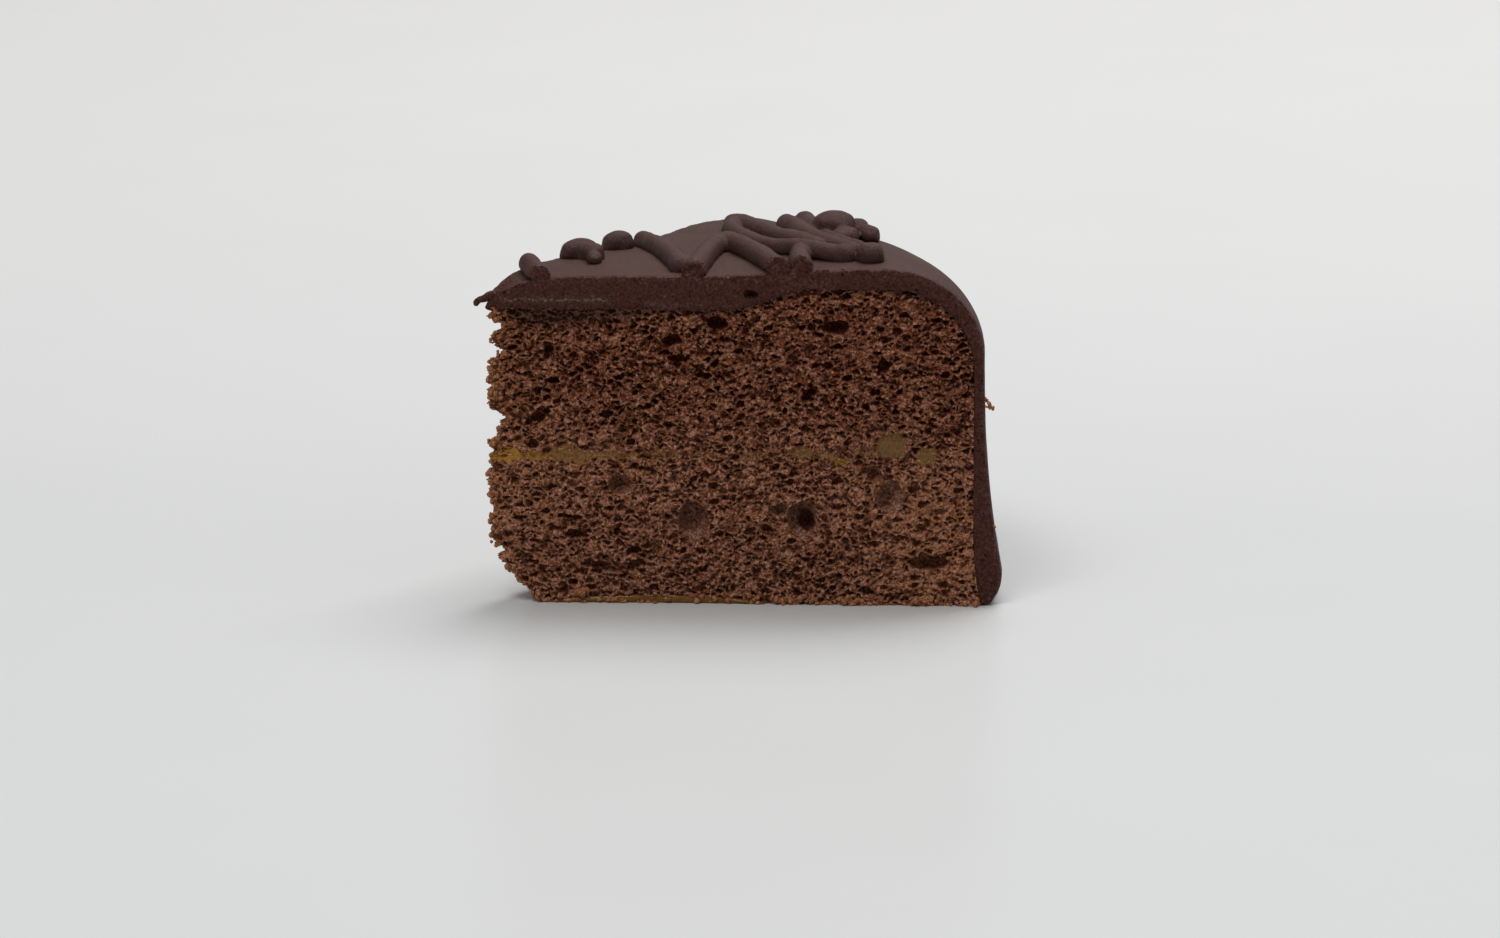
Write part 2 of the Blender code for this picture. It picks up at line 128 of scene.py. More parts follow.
@dataclass(frozen=True)
class Bubbles:
    """One size of air bubble in a baked crumb."""

    cell: float  # one bubble at most in each cell of this size
    chance: float
    small: float  # radii
    large: float
    flat: float  # how much wider than high
    seed: int

    def depth(self, points: Array, inward: Array) -> Array:
        """How far bubbles open a cut surface at each point, straight in.

        Each cell of a lattice may hold one ball of random place and radius. Where a point lies in a
        ball, the depth is the distance along inward to the ball's far wall; balls that overlap keep
        the deepest.

        Args:
            points: positions on the cut, shape (n, 3).
            inward: unit vectors into the crumb, shape (n, 3).

        Returns:
            Depths, shape (n,).
        """
        points = points * np.array([1.0, 1.0, self.flat])
        base = np.floor(points / self.cell)
        deepest = np.zeros(len(points))
        for offset in product((-1, 0, 1), repeat=3):
            cell = base + offset
            draw = lattice(cell, self.seed, 3)
            radius = self.small + (self.large - self.small) * (draw / self.chance) ** 1.7
            jitter = np.stack([lattice(cell, self.seed, axis) for axis in range(3)], axis=1)
            away = points - (cell + 0.12 + 0.76 * jitter) * self.cell
            along = np.einsum("ij,ij->i", away, inward)
            excess = np.einsum("ij,ij->i", away, away) - radius**2
            inside = (excess < 0) & (draw < self.chance)
            reach = -along + np.sqrt(np.maximum(along**2 - excess, 0.0))
            deepest = np.where(inside, np.maximum(deepest, reach), deepest)
        return deepest


def cellular(points: Array, size: float, seed: int) -> tuple[Array, Array, Array]:
    """Cellular noise: regions round the scattered centres of a lattice's cells.

    Args:
        points: positions, shape (n, 3).
        size: the cells' size.
        seed: names the pattern.

    Returns:
        Distance to the nearest centre, how much farther the second nearest is (0 on the wall between
        two regions), both over size, and the nearest centre's random number.
    """
    scaled = points / size
    base = np.floor(scaled)
    first, second, number = np.full(len(points), 9.0), np.full(len(points), 9.0), np.zeros(len(points))
    for offset in product((-1, 0, 1), repeat=3):
        cell = base + offset
        jitter = np.stack([lattice(cell, seed, axis) for axis in range(3)], axis=1)
        distance = np.linalg.norm(scaled - cell - jitter, axis=1)
        closer = distance < first
        second = np.where(closer, first, np.minimum(second, distance))
        first = np.where(closer, distance, first)
        number = np.where(closer, lattice(cell, seed, 3), number)
    return first, second - first, number


# ------------------------------------------------------------------ meshes


class Shell:
    """Grids of points that close a solid together and are welded where their edges meet."""

    def __init__(self, name: str, creased: bool = False) -> None:
        """Starts an empty shell for the piece called name; creased grids aren't shaded as one."""
        self.name, self.creased = name, creased
        self.points: list[Array] = []
        self.faces: list[Array] = []
        self.values: list[dict[str, Array]] = []
        self.count = 0

    def grid(self, points: Array, **values: Array) -> None:
        """Adds a two-parameter grid as triangles.

        Args:
            points: positions, shape (a, b, 3).
            values: named numbers of the grid's points, shape (a, b).
        """
        a, b = points.shape[:2]
        index = self.count + np.arange(a * b).reshape(a, b)
        p, q, r, s = index[:-1, :-1], index[1:, :-1], index[1:, 1:], index[:-1, 1:]
        tall = np.linalg.norm(points[:-1, :-1] - points[1:, 1:], axis=2)
        wide = np.linalg.norm(points[1:, :-1] - points[:-1, 1:], axis=2)
        short = (tall <= wide)[..., None]
        one = np.where(short, np.stack([p, q, r], -1), np.stack([p, q, s], -1))
        two = np.where(short, np.stack([p, r, s], -1), np.stack([q, r, s], -1))
        self.faces += [one.reshape(-1, 3), two.reshape(-1, 3)]
        self._keep(points.reshape(-1, 3), {k: v.reshape(-1) for k, v in values.items()})

    def fan(self, loop: Array, centre: Array, **values: float) -> None:
        """Closes a loop of points, shape (n, 3), with triangles to a centre."""
        n = len(loop)
        index = self.count + np.arange(n)
        apex = np.full(n, self.count + n)
        self.faces.append(np.stack([index, np.roll(index, -1), apex], axis=1))
        self._keep(np.vstack([loop, centre]), {k: np.full(n + 1, v) for k, v in values.items()})

    def _keep(self, points: Array, values: dict[str, Array]) -> None:
        """Stores points and their values."""
        self.points.append(points)
        self.values.append(values)
        self.count += len(points)

    def build(self, material: bpy.types.Material) -> bpy.types.Object:
        """Welds the grids, points the faces outwards and makes the object.

        Args:
            material: the piece's finish.

        Returns:
            The object, at the origin, with its values as point attributes.
        """
        points = np.vstack(self.points)
        _, first, remap = np.unique(
            np.round(points / 2e-8).astype(np.int64), axis=0, return_index=True, return_inverse=True
        )
        faces = remap.reshape(-1)[np.vstack(self.faces)]
        whole = (faces[:, 0] != faces[:, 1]) & (faces[:, 1] != faces[:, 2]) & (faces[:, 2] != faces[:, 0])
        faces = faces[whole]
        mesh = bpy.data.meshes.new(self.name)
        mesh.vertices.add(len(first))
        mesh.vertices.foreach_set("co", points[first].astype(np.float32).ravel())
        mesh.loops.add(faces.size)
        mesh.loops.foreach_set("vertex_index", faces.astype(np.int32).ravel())
        mesh.polygons.add(len(faces))
        mesh.polygons.foreach_set("loop_start", np.arange(0, faces.size, 3, dtype=np.int32))
        mesh.update(calc_edges=True)
        for name in sorted({key for values in self.values for key in values}):
            filled = np.concatenate(
                [v.get(name, np.zeros(len(p))) for v, p in zip(self.values, self.points)]
            )
            layer = mesh.attributes.new(name, "FLOAT", "POINT")
            layer.data.foreach_set("value", filled[first].astype(np.float32))
        bm = bmesh.new()
        bm.from_mesh(mesh)
        bmesh.ops.recalc_face_normals(bm, faces=bm.faces)
        bm.to_mesh(mesh)
        bm.free()
        mesh.shade_smooth()
        if self.creased:
            self._crease(mesh, whole)
        mesh.materials.append(material)
        obj = bpy.data.objects.new(self.name, mesh)
        bpy.context.scene.collection.objects.link(obj)
        return obj


    def _crease(self, mesh: bpy.types.Mesh, whole: Array) -> None:
        """Marks the edges between two grids as sharp; whole says which faces were kept."""
        owner = np.concatenate([np.full(len(f), i // 2) for i, f in enumerate(self.faces)])[whole]
        edge = np.empty(len(mesh.loops), np.int32)
        mesh.loops.foreach_get("edge_index", edge)
        low, high = np.full(len(mesh.edges), len(self.faces)), np.full(len(mesh.edges), -1)
        np.minimum.at(low, edge, np.repeat(owner, 3))
        np.maximum.at(high, edge, np.repeat(owner, 3))
        sharp = mesh.attributes.new("sharp_edge", "BOOLEAN", "EDGE")
        sharp.data.foreach_set("value", low != high)


def hand_over(obj: bpy.types.Object, slot: str, *nodes: str) -> bpy.types.Object:
    """Rides a piece on the slice, and hides and logs the solids it stands for."""
    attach(obj, "root")
    if nodes:
        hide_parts(*nodes)
    LOG.info("%s: %d triangles, for %s", obj.name, len(obj.data.polygons), ", ".join(nodes) or "no solid")
    return obj


# ------------------------------------------------------------------ shader maths


class Wire:
    """A shader socket that Python's operators can be used on; each adds a Math node."""

    def __init__(self, tree: bpy.types.NodeTree, socket: bpy.types.NodeSocket) -> None:
        """Wraps a node's output socket."""
        self.tree, self.socket = tree, socket

    def _math(self, operation: str, *terms: "Wire | float", clamp: bool = False) -> "Wire":
        """Adds one Math node on terms."""
        node = self.tree.nodes.new("ShaderNodeMath")
        node.operation, node.use_clamp = operation, clamp
        for i, term in enumerate(terms):
            if isinstance(term, Wire):
                self.tree.links.new(term.socket, node.inputs[i])
            else:
                node.inputs[i].default_value = term
        return Wire(self.tree, node.outputs[0])

    def __add__(self, other: "Wire | float") -> "Wire":
        """self + other."""
        return self._math("ADD", self, other)

    __radd__ = __add__

    def __sub__(self, other: "Wire | float") -> "Wire":
        """self - other."""
        return self._math("SUBTRACT", self, other)

    def __rsub__(self, other: float) -> "Wire":
        """other - self."""
        return self._math("SUBTRACT", other, self)

    def __mul__(self, other: "Wire | float") -> "Wire":
        """self * other."""
        return self._math("MULTIPLY", self, other)

    __rmul__ = __mul__

    def __truediv__(self, other: "Wire | float") -> "Wire":
        """self / other."""
        return self._math("DIVIDE", self, other)

    def __rtruediv__(self, other: float) -> "Wire":
        """other / self."""
        return self._math("DIVIDE", other, self)

    def __pow__(self, power: float) -> "Wire":
        """self to a power."""
        return self._math("POWER", self, power)

    def clamped(self) -> "Wire":
        """self kept between 0 and 1."""
        return self._math("ADD", self, 0.0, clamp=True)

    def above(self, low: float, high: float) -> "Wire":
        """0 below low, 1 above high, straight between them."""
        return self._math("MULTIPLY", self - low, 1.0 / (high - low), clamp=True)


class Finish:
    """A material under construction: one method makes every node."""

    def __init__(self, name: str) -> None:
        """Starts a material with an empty tree."""
        self.material = bpy.data.materials.new(name)
        self.material.use_nodes = True
        self.tree = self.material.node_tree
        self.tree.nodes.clear()

    def node(self, kind: str, settings: dict | None = None, inputs: dict | None = None, out: int | str = 0) -> Wire:
        """Makes any node.

        Args:
            kind: the node's type, without the leading ShaderNode.
            settings: the node's own properties, set first.
            inputs: socket names or numbers, with a Wire to link or a value to set.
            out: the output socket to return.

        Returns:
            The chosen output as a Wire.
        """
        node = self.tree.nodes.new(f"ShaderNode{kind}")
        for key, value in (settings or {}).items():
            setattr(node, key, value)
        for key, value in (inputs or {}).items():
            if isinstance(value, Wire):
                self.tree.links.new(value.socket, node.inputs[key])
            else:
                node.inputs[key].default_value = value
        return Wire(self.tree, node.outputs[out])

    def place(self) -> Wire:
        """Object coordinates, which are the row frame's metres."""
        return self.node("TexCoord", out="Object")

    def number(self, name: str) -> Wire:
        """A number that the mesh carries at its points."""
        return self.node("Attribute", {"attribute_name": name}, out="Fac")

    def noise(self, size: float, detail: float = 2.0, rough: float = 0.5, stretch: Colour = (1, 1, 1)) -> Wire:
        """Noise of a grain size in metres, from about 0 to 1, stretched along the row's axes."""
        scaled = self.node("Mapping", inputs={0: self.place(), "Scale": stretch})
        sizes = {"Scale": 1.0 / size, "Detail": detail, "Roughness": rough}
        return self.node("TexNoise", {"noise_dimensions": "3D"}, {"Vector": scaled, **sizes})

    def cells(self, size: float) -> Wire:
        """Distance to the nearest of scattered centres, in cells of a size in metres."""
        return self.node("TexVoronoi", inputs={"Vector": self.place(), "Scale": 1.0 / size})

    def blend(self, share: Wire | float, low: Wire | Colour, high: Wire | Colour) -> Wire:
        """A colour between low, at share 0, and high, at share 1."""
        low, high = (c if isinstance(c, Wire) else (*c, 1.0) for c in (low, high))
        return self.node("Mix", {"data_type": "RGBA"}, {0: share, 6: low, 7: high}, out=2)

    def bump(self, height: Wire, depth: float, under: Wire | None = None) -> Wire:
        """A bump of height times depth, in metres, on top of another one."""
        inputs = {"Height": height, "Distance": depth, "Strength": 1.0}
        if under:
            inputs["Normal"] = under
        return self.node("Bump", inputs=inputs)

    def shade(self, **inputs: Wire | float | Colour) -> bpy.types.Material:
        """Ends the tree in a Principled shader with these sockets, spaces written as underscores."""
        sockets = {
            key.replace("_", " "): (*value, 1.0) if isinstance(value, tuple) else value
            for key, value in inputs.items()
        }
        surface = self.node("BsdfPrincipled", inputs=sockets)
        self.node_output(surface)
        return self.material

    def node_output(self, surface: Wire) -> None:
        """Links a shader to the material's output."""
        output = self.tree.nodes.new("ShaderNodeOutputMaterial")
        self.tree.links.new(surface.socket, output.inputs["Surface"])


@dataclass(frozen=True)
class CrumbFinish:
    """Moist chocolate crumb: paler on its grains, partly by random tone and partly by a painted highlight on their
    tops, with painted shade in its pores and between its grains, painted orange light on its crumbled tip, and amber
    and wet where jam shows.
    """

    name: str = "chocolate_crumb"
    # Painted shade, laid in the pores by their depth and between the grains.
    pore_shade: Colour = (0.0480, 0.0045, 0.0004)
    body: Colour = (0.240, 0.0730, 0.0335)
    crest_tone_and_highlight: Colour = (0.680, 0.335, 0.215)
    # Paler grains: partly random tone, partly a painted highlight on their tops.
    rust: Colour = (0.350, 0.1080, 0.0420)
    cup: Colour = (0.085, 0.0385, 0.0240)
    # Painted orange light on the crumbled tip and the loose crumbs, and a paler golden tone low by the rim.
    dry: Colour = (0.640, 0.260, 0.1050)
    soaked: Colour = (0.0660, 0.0240, 0.0145)
    amber: Colour = (0.390, 0.165, 0.006)
    olive: Colour = (0.160, 0.0720, 0.0115)
    roughness: float = 0.6
    specular: float = 0.04

    def material(self) -> bpy.types.Material:
        """Colour from pore depth as painted shade, grain tint, jam share and two noises, bumped by finer grains."""
        f = Finish(self.name)
        deep, wet, warm, tint = (f.number(key) for key in ("deep", "wet", "warm", "tint"))
        patchy = f.noise(2.4 * MM, 3.0)
        fine = f.noise(0.20 * MM, 3.0, 0.65)
        cells = f.cells(0.46 * MM) * 0.6 + f.cells(0.25 * MM) * 0.4
        dry, soak, gloss, light = (f.number(key) for key in ("dry", "soak", "gloss", "light"))
        share = (wet * 1.3 + fine * 1.9 + patchy * 0.6 - 1.65).clamped()
        colour = f.blend((tint * 1.6 - 0.9).clamped(), self.body, self.rust)
        # Painted orange light on the crumbled tip, and a golden tone low by the rim.
        colour = f.blend((dry * 0.75 + light * 0.12).clamped(), colour, self.dry)
        # Share of the paler colour: random tone, and a painted highlight at the centres of small cells, which stand
        # for the grains' lit tops; more of it low on the cut.
        pale = (tint * 0.9 + fine * 1.8 + patchy * 0.5 - cells * 0.8 - 0.92 + light * 0.22).clamped()
        colour = f.blend(pale, colour, self.crest_tone_and_highlight)
        # Painted shade between the grains, at the edges of small cells.
        colour = f.blend(cells.above(0.34, 0.72) * 0.55, colour, self.pore_shade)
        # Painted shade in the pores by their depth, a little less low on the cut.
        colour = f.blend(deep.above(0.35, 1.55) * (1.0 - light * 0.2), colour, self.pore_shade)
        colour = f.blend(soak * 0.85, colour, self.soaked)
        colour = f.blend(gloss * 0.55, colour, self.cup)
        jam = f.blend((warm * 1.1 + patchy * 0.4 - 0.2).clamped(), self.olive, self.amber)
        glint = (fine.above(0.60, 0.72) * tint.above(0.4, 0.9)).clamped()
        bump = f.bump((fine * 0.5 - cells) * (1.0 - share * 0.6) * (1.0 - gloss * 0.3), 0.55 * MM)
        return f.shade(
            Base_Color=f.blend(share, colour, jam),
            Roughness=self.roughness - share * 0.2,
            Specular_IOR_Level=self.specular,
            Coat_Weight=(share * 0.5 + glint * 0.8 + gloss * 0.5 + soak * 0.22).clamped(),
            Coat_Roughness=0.22,
            Normal=bump,
        )


@dataclass(frozen=True)
class ChocolateFinish:
    """Set chocolate: a fine-grained satin skin, and a darker face where the knife went."""

    name: str = "chocolate"
    skin: Colour = (0.0420, 0.0165, 0.0125)
    bloom: Colour = (0.0860, 0.0440, 0.0370)
    cut: Colour = (0.1150, 0.0370, 0.0260)
    # The cut's darker tone, which also serves as the painted shade in its small pits.
    dark: Colour = (0.0420, 0.0095, 0.0052)
    # The colour of the painted glints and of the pale line on the cut.
    pale: Colour = (0.30, 0.21, 0.19)
    roughness: float = 0.47
    specular: float = 0.16

    def material(self) -> bpy.types.Material:
        """Skin and cut by the mesh's own mask, with pale specks on the cut that are painted glints, painted shade in
        its small pits and a pale line near the cut's lower edge.
        """
        f = Finish(self.name)
        cut, streak = f.number("cut"), f.number("streak")
        grain = f.noise(0.28 * MM, 3.0, 0.75)
        cloud = f.noise(5.0 * MM, 3.0)
        sugar = f.noise(0.44 * MM, 4.0, 0.8)
        # Painted glints: pale specks where the noise is high, which also get a glossy coat.
        glint_spots = sugar.above(0.62, 0.70)
        pits = (1.0 - f.cells(0.62 * MM).above(0.12, 0.34)) * f.noise(0.9 * MM).above(0.42, 0.55) * cut
        line = streak.above(0.78, 0.95) * sugar.above(0.38, 0.58)
        skin = f.blend((cloud * 0.6 + grain * 3.6 - 1.75).clamped(), self.skin, self.bloom)
        face = f.blend(sugar.above(0.36, 0.60), self.dark, self.cut)
        # Painted shade in the small pits, which are only bumps.
        face = f.blend(pits * 0.55, face, self.dark)
        glint_and_line_share = glint_spots * 0.34 + streak * sugar.above(0.50, 0.68) * 0.42 + line * 0.45
        face = f.blend(glint_and_line_share.clamped(), face, self.pale)
        bump = f.bump(grain * 1.6 + sugar * cut * 6.0 - pits * 9.0, 0.12 * MM)
        return f.shade(
            Base_Color=f.blend(cut, skin, face),
            Roughness=self.roughness + grain * 0.12,
            Specular_IOR_Level=self.specular,
            Coat_Weight=(cut * glint_spots + streak * 0.2).clamped(),
            Coat_Roughness=0.2,
            Normal=bump,
        )


@dataclass(frozen=True)
class FloorFinish:
    """A plain pale floor with a soft gloss."""

    name: str = "pale_floor"
    colour: Colour = (0.60, 0.610, 0.605)
    distant: Colour = (0.765, 0.760, 0.750)
    paling: tuple[float, float] = (0.02, 0.60)  # where it grows paler, in metres behind the slice
    roughness: float = 0.28

    def material(self) -> bpy.types.Material:
        """A plain glazed surface, paler towards the back, with a faint unevenness in its gloss."""
        f = Finish(self.name)
        rough = self.roughness + f.noise(0.05, 2.0) * 0.05
        behind = f.node("SeparateXYZ", inputs={0: f.place()}, out="Y").above(*self.paling)
        return f.shade(Base_Color=f.blend(behind, self.colour, self.distant), Roughness=rough)


# ------------------------------------------------------------------ the torte's shared curves


@dataclass
class Torte:
    """The slice's sizes and curves about the torte's axis, in metres."""

    angle: float = math.radians(52)
    radius: float = 79.7 * MM
    top: float = 54.6 * MM
    dish: float = 1.3 * MM
    dish_edge: tuple[float, float] = (35 * MM, 58 * MM)
    nose_droop: float = 5.6 * MM
    nose_reach: float = 4.2 * MM
    nose_blunt: float = 1.2 * MM
    shoulder: float = 64 * MM
    shoulder_drop: float = 14.1 * MM
    flare: float = 4.1 * MM
    foot: float = 5.3 * MM
    foot_tuck: float = 2.9 * MM
    sponge_middle: float = 48.0 * MM
    sponge_rim: float = 51.5 * MM
    sponge_rise: tuple[float, float] = (39 * MM, 53 * MM)
    sponge_radius: float = 78.1 * MM
    sponge_shoulder: float = 64.5 * MM
    sponge_drop: float = 13.1 * MM
    jam_level: float = 23.7 * MM
    jam_thick: float = 1.1 * MM
    base_jam: tuple[float, float] = (10.4 * MM, 45 * MM)
    base_jam_thick: float = 1.3 * MM
    shift: tuple[float, float] = (0.0, 0.0)
    jam_lumps: tuple[tuple[float, float, float, float], ...] = (
        (8.0, 0.00, 0.7, 5.0),
        (15.0, 0.10, 0.6, 2.5),
        (30.0, 0.55, 0.9, 5.0),
        (46.0, 0.90, 1.0, 4.0),
        (53.0, 0.35, 0.7, 5.0),
        (64.8, 0.00, 2.3, 2.8),
        (70.5, 0.03, 0.9, 1.8),
        (66.0, 0.80, 1.6, 3.5),
    )
    tip_notches: tuple[tuple[float, float, float], ...] = (
        (44.8, 2.3, 1.2),
        (40.6, 2.4, 1.2),
        (35.0, 0.5, 0.8),
        (29.8, 2.6, 1.3),
        (27.4, 1.2, 1.2),
        (24.6, 0.9, 0.7),
        (15.6, 0.5, 1.0),
        (8.4, 1.8, 0.9),
    )

    def settle(self) -> None:
        """Finds the row frame's shift from the torte's axis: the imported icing's far corner."""
        line = self.icing_outline(np.full(1, self.nose_blunt), 200)[0]
        turns = np.linspace(0, 1, 12)
        around = self.place(line[None, :, 0], turns[:, None], line[None, :, 1]).reshape(-1, 3)
        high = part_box("icing")[1]
        self.shift = (high.x - around[:, 0].max(), high.y - around[:, 1].max())

    def icing_top(self, r: Array) -> Array:
        """Height of the top inside the shoulder: flat, dished in the middle, drooping at the nose."""
        dish = self.dish * (1 - smoothstep(*self.dish_edge, r))
        return self.top - dish - self.nose_droop * np.exp(-r / self.nose_reach)

    def icing_outline(self, nose: Array, count: int) -> Array:
        """The icing's outer line, from the nose over the elliptic shoulder down the flared rim.

        Args:
            nose: radius of the nose, shape (n,).
            count: points on the line.

        Returns:
            (r, z) points, shape (n, count, 2).
        """
        parts = np.array([0.50, 0.19, 0.26, 0.05])
        steps = np.maximum(2, np.round(parts * count)).astype(int)
        steps[0] += count - steps.sum()
        u = np.linspace(0, 1, steps[0], endpoint=False) ** 1.15
        r = nose[:, None] + (self.shoulder - nose[:, None]) * u
        top = np.stack([r, self.icing_top(r)], -1)
        middle = self.top - self.shoulder_drop
        a = np.linspace(0, math.pi / 2, steps[1], endpoint=False)
        bend = self.shoulder + (self.radius - self.shoulder) * np.sin(a), middle + self.shoulder_drop * np.cos(a)
        z = np.linspace(middle, self.foot, steps[2], endpoint=False)
        side = self.radius + self.flare * (1 - z / middle) ** 2.2, z
        a = np.linspace(0, math.pi / 2, steps[3])
        widest = self.radius + self.flare * (1 - self.foot / middle) ** 2.2 - self.foot_tuck
        toe = widest + self.foot_tuck * np.cos(a), self.foot * (1 - np.sin(a))
        rest = np.concatenate([np.stack(part, -1) for part in (bend, side, toe)])
        return np.concatenate([top, np.broadcast_to(rest, (len(nose), *rest.shape))], axis=1)

    def sponge_top(self, r: Array) -> Array:
        """Height of the sponge under the icing: a step up towards the rim, then a round shoulder."""
        rise = self.sponge_rim - self.sponge_middle
        flat = self.sponge_middle + rise * smoothstep(*self.sponge_rise, r)
        reach = np.clip((r - self.sponge_shoulder) / (self.sponge_radius - self.sponge_shoulder), 0, 1)
        return flat - self.sponge_drop * (1 - np.sqrt(1 - reach**2))

    def sponge_side(self, z: Array) -> Array:
        """Radius of the sponge's side, which spreads a little at the base."""
        return self.sponge_radius + 1.2 * MM * np.maximum(0.0, 1 - z / (13 * MM)) ** 2

    def icing_inside(self, nose: Array, count: int) -> Array:
        """The icing's inner line, in step with icing_outline: shape (n, count, 2)."""
        parts = np.array([0.50, 0.19, 0.26, 0.05])
        steps = np.maximum(2, np.round(parts * count)).astype(int)
        steps[0] += count - steps.sum()
        u = np.linspace(0, 1, steps[0], endpoint=False) ** 1.15
        r = nose[:, None] + (self.sponge_shoulder - nose[:, None]) * u
        top = np.stack([r, self.sponge_top(r)], -1)
        a = np.linspace(0, math.pi / 2, steps[1], endpoint=False)
        r = self.sponge_shoulder + (self.sponge_radius - self.sponge_shoulder) * np.sin(a)
        middle = self.sponge_rim - self.sponge_drop
        bend = r, middle + self.sponge_drop * np.cos(a)
        z = np.concatenate(
            [np.linspace(middle, self.foot, steps[2], endpoint=False), np.linspace(self.foot, 0, steps[3])]
        )
        rest = np.concatenate([np.stack(bend, -1), np.stack([self.sponge_side(z), z], -1)])
        return np.concatenate([top, np.broadcast_to(rest, (len(nose), *rest.shape))], axis=1)

    def tip_reach(self, z: Array) -> Array:
        """How far from the apex the crumbled tip starts: notches, and a lower corner that is gone."""
        reach = np.full_like(z, 0.8 * MM)
        for at, deep, high in self.tip_notches:
            reach = reach + deep * MM * np.exp(-(((z / MM - at) / high) ** 2))
        return reach + 8 * MM * np.maximum(0.0, 1 - z / (10 * MM)) ** 1.3

    def jam_top(self, r: Array, turn: Array) -> Array:
        """Upper side of the jam, a level with round lumps."""
        height = self.jam_level + self.jam_thick + 0 * (r + turn)
        for at, share, lump, width in self.jam_lumps:
            across = (turn - share) * self.angle * at
            height = height + lump * MM * np.exp(-((r / MM - at) ** 2 + across**2) / width**2)
        return height

    def jam_bottom(self, r: Array, turn: Array) -> Array:
        """Lower side of the jam, a long wave."""
        return self.jam_level + 0.35 * MM * np.sin(r / (7 * MM) + 5 * turn)

    def base_jam_top(self, r: Array) -> Array:
        """Upper side of the film of jam under the slice, a flat arch over its span."""
        low, high = self.base_jam
        share = np.clip((r - low) / (high - low), 0, 1)
        return self.base_jam_thick * np.sqrt(np.maximum(0.0, np.sin(math.pi * share)))

    def place(self, r: Array, turn: Array, z: Array) -> Array:
        """Row-frame points of section points, with the torte's uneven height and the knife's sway.

        Args:
            r, turn, z: radius, share of the wedge and height, of shapes that match.

        Returns:
            Points, shape (..., 3).
        """
        r, turn, z = np.broadcast_arrays(r, turn, z)
        swell = 0.3 * MM * np.sin(r / (13 * MM) + 5 * turn + 3) * smoothstep(0.0, 0.3, turn)
        swell = swell - 2.0 * MM * smoothstep(0.45, 0.95, turn) * smoothstep(48 * MM, 72 * MM, r)
        bulge = 0.25 * MM * np.sin(7 * turn) * r / self.radius
        sway = 0.0035 * (np.sin(z / (11 * MM) + 1.0) + np.sin(r / (12 * MM)))
        around = turn * self.angle + sway
        reach = r + bulge
        x = reach * np.cos(around) + self.shift[0]
        y = reach * np.sin(around) + self.shift[1]
        return np.stack([x, y, z * (1 + swell / self.top)], -1)

    def near_cut(self, points: Array) -> Array:
        """The near cut's y at points about the axis: the knife's sway at their radius and height."""
        sway = 0.0035 * (np.sin(points[..., 2] / (11 * MM) + 1.0) + np.sin(points[..., 0] / (12 * MM)))
        return points[..., 0] * np.sin(sway)

    def surface(self, x: Array, y: Array) -> Array:
        """Height of the icing over plan points given from the torte's axis."""
        r = np.hypot(x, y)
        turn = np.clip(np.arctan2(y, x) / self.angle, 0, 1)
        share = np.clip((r - self.shoulder) / (self.radius - self.shoulder), 0, 1)
        round_off = self.shoulder_drop * (1 - np.sqrt(1 - share**2))
        return self.place(r, turn, self.icing_top(r) - round_off)[..., 2]


class Cut(Enum):
    """The slice's two cut faces."""

    NEAR = 0.0
    FAR = 1.0


# ------------------------------------------------------------------ crumb


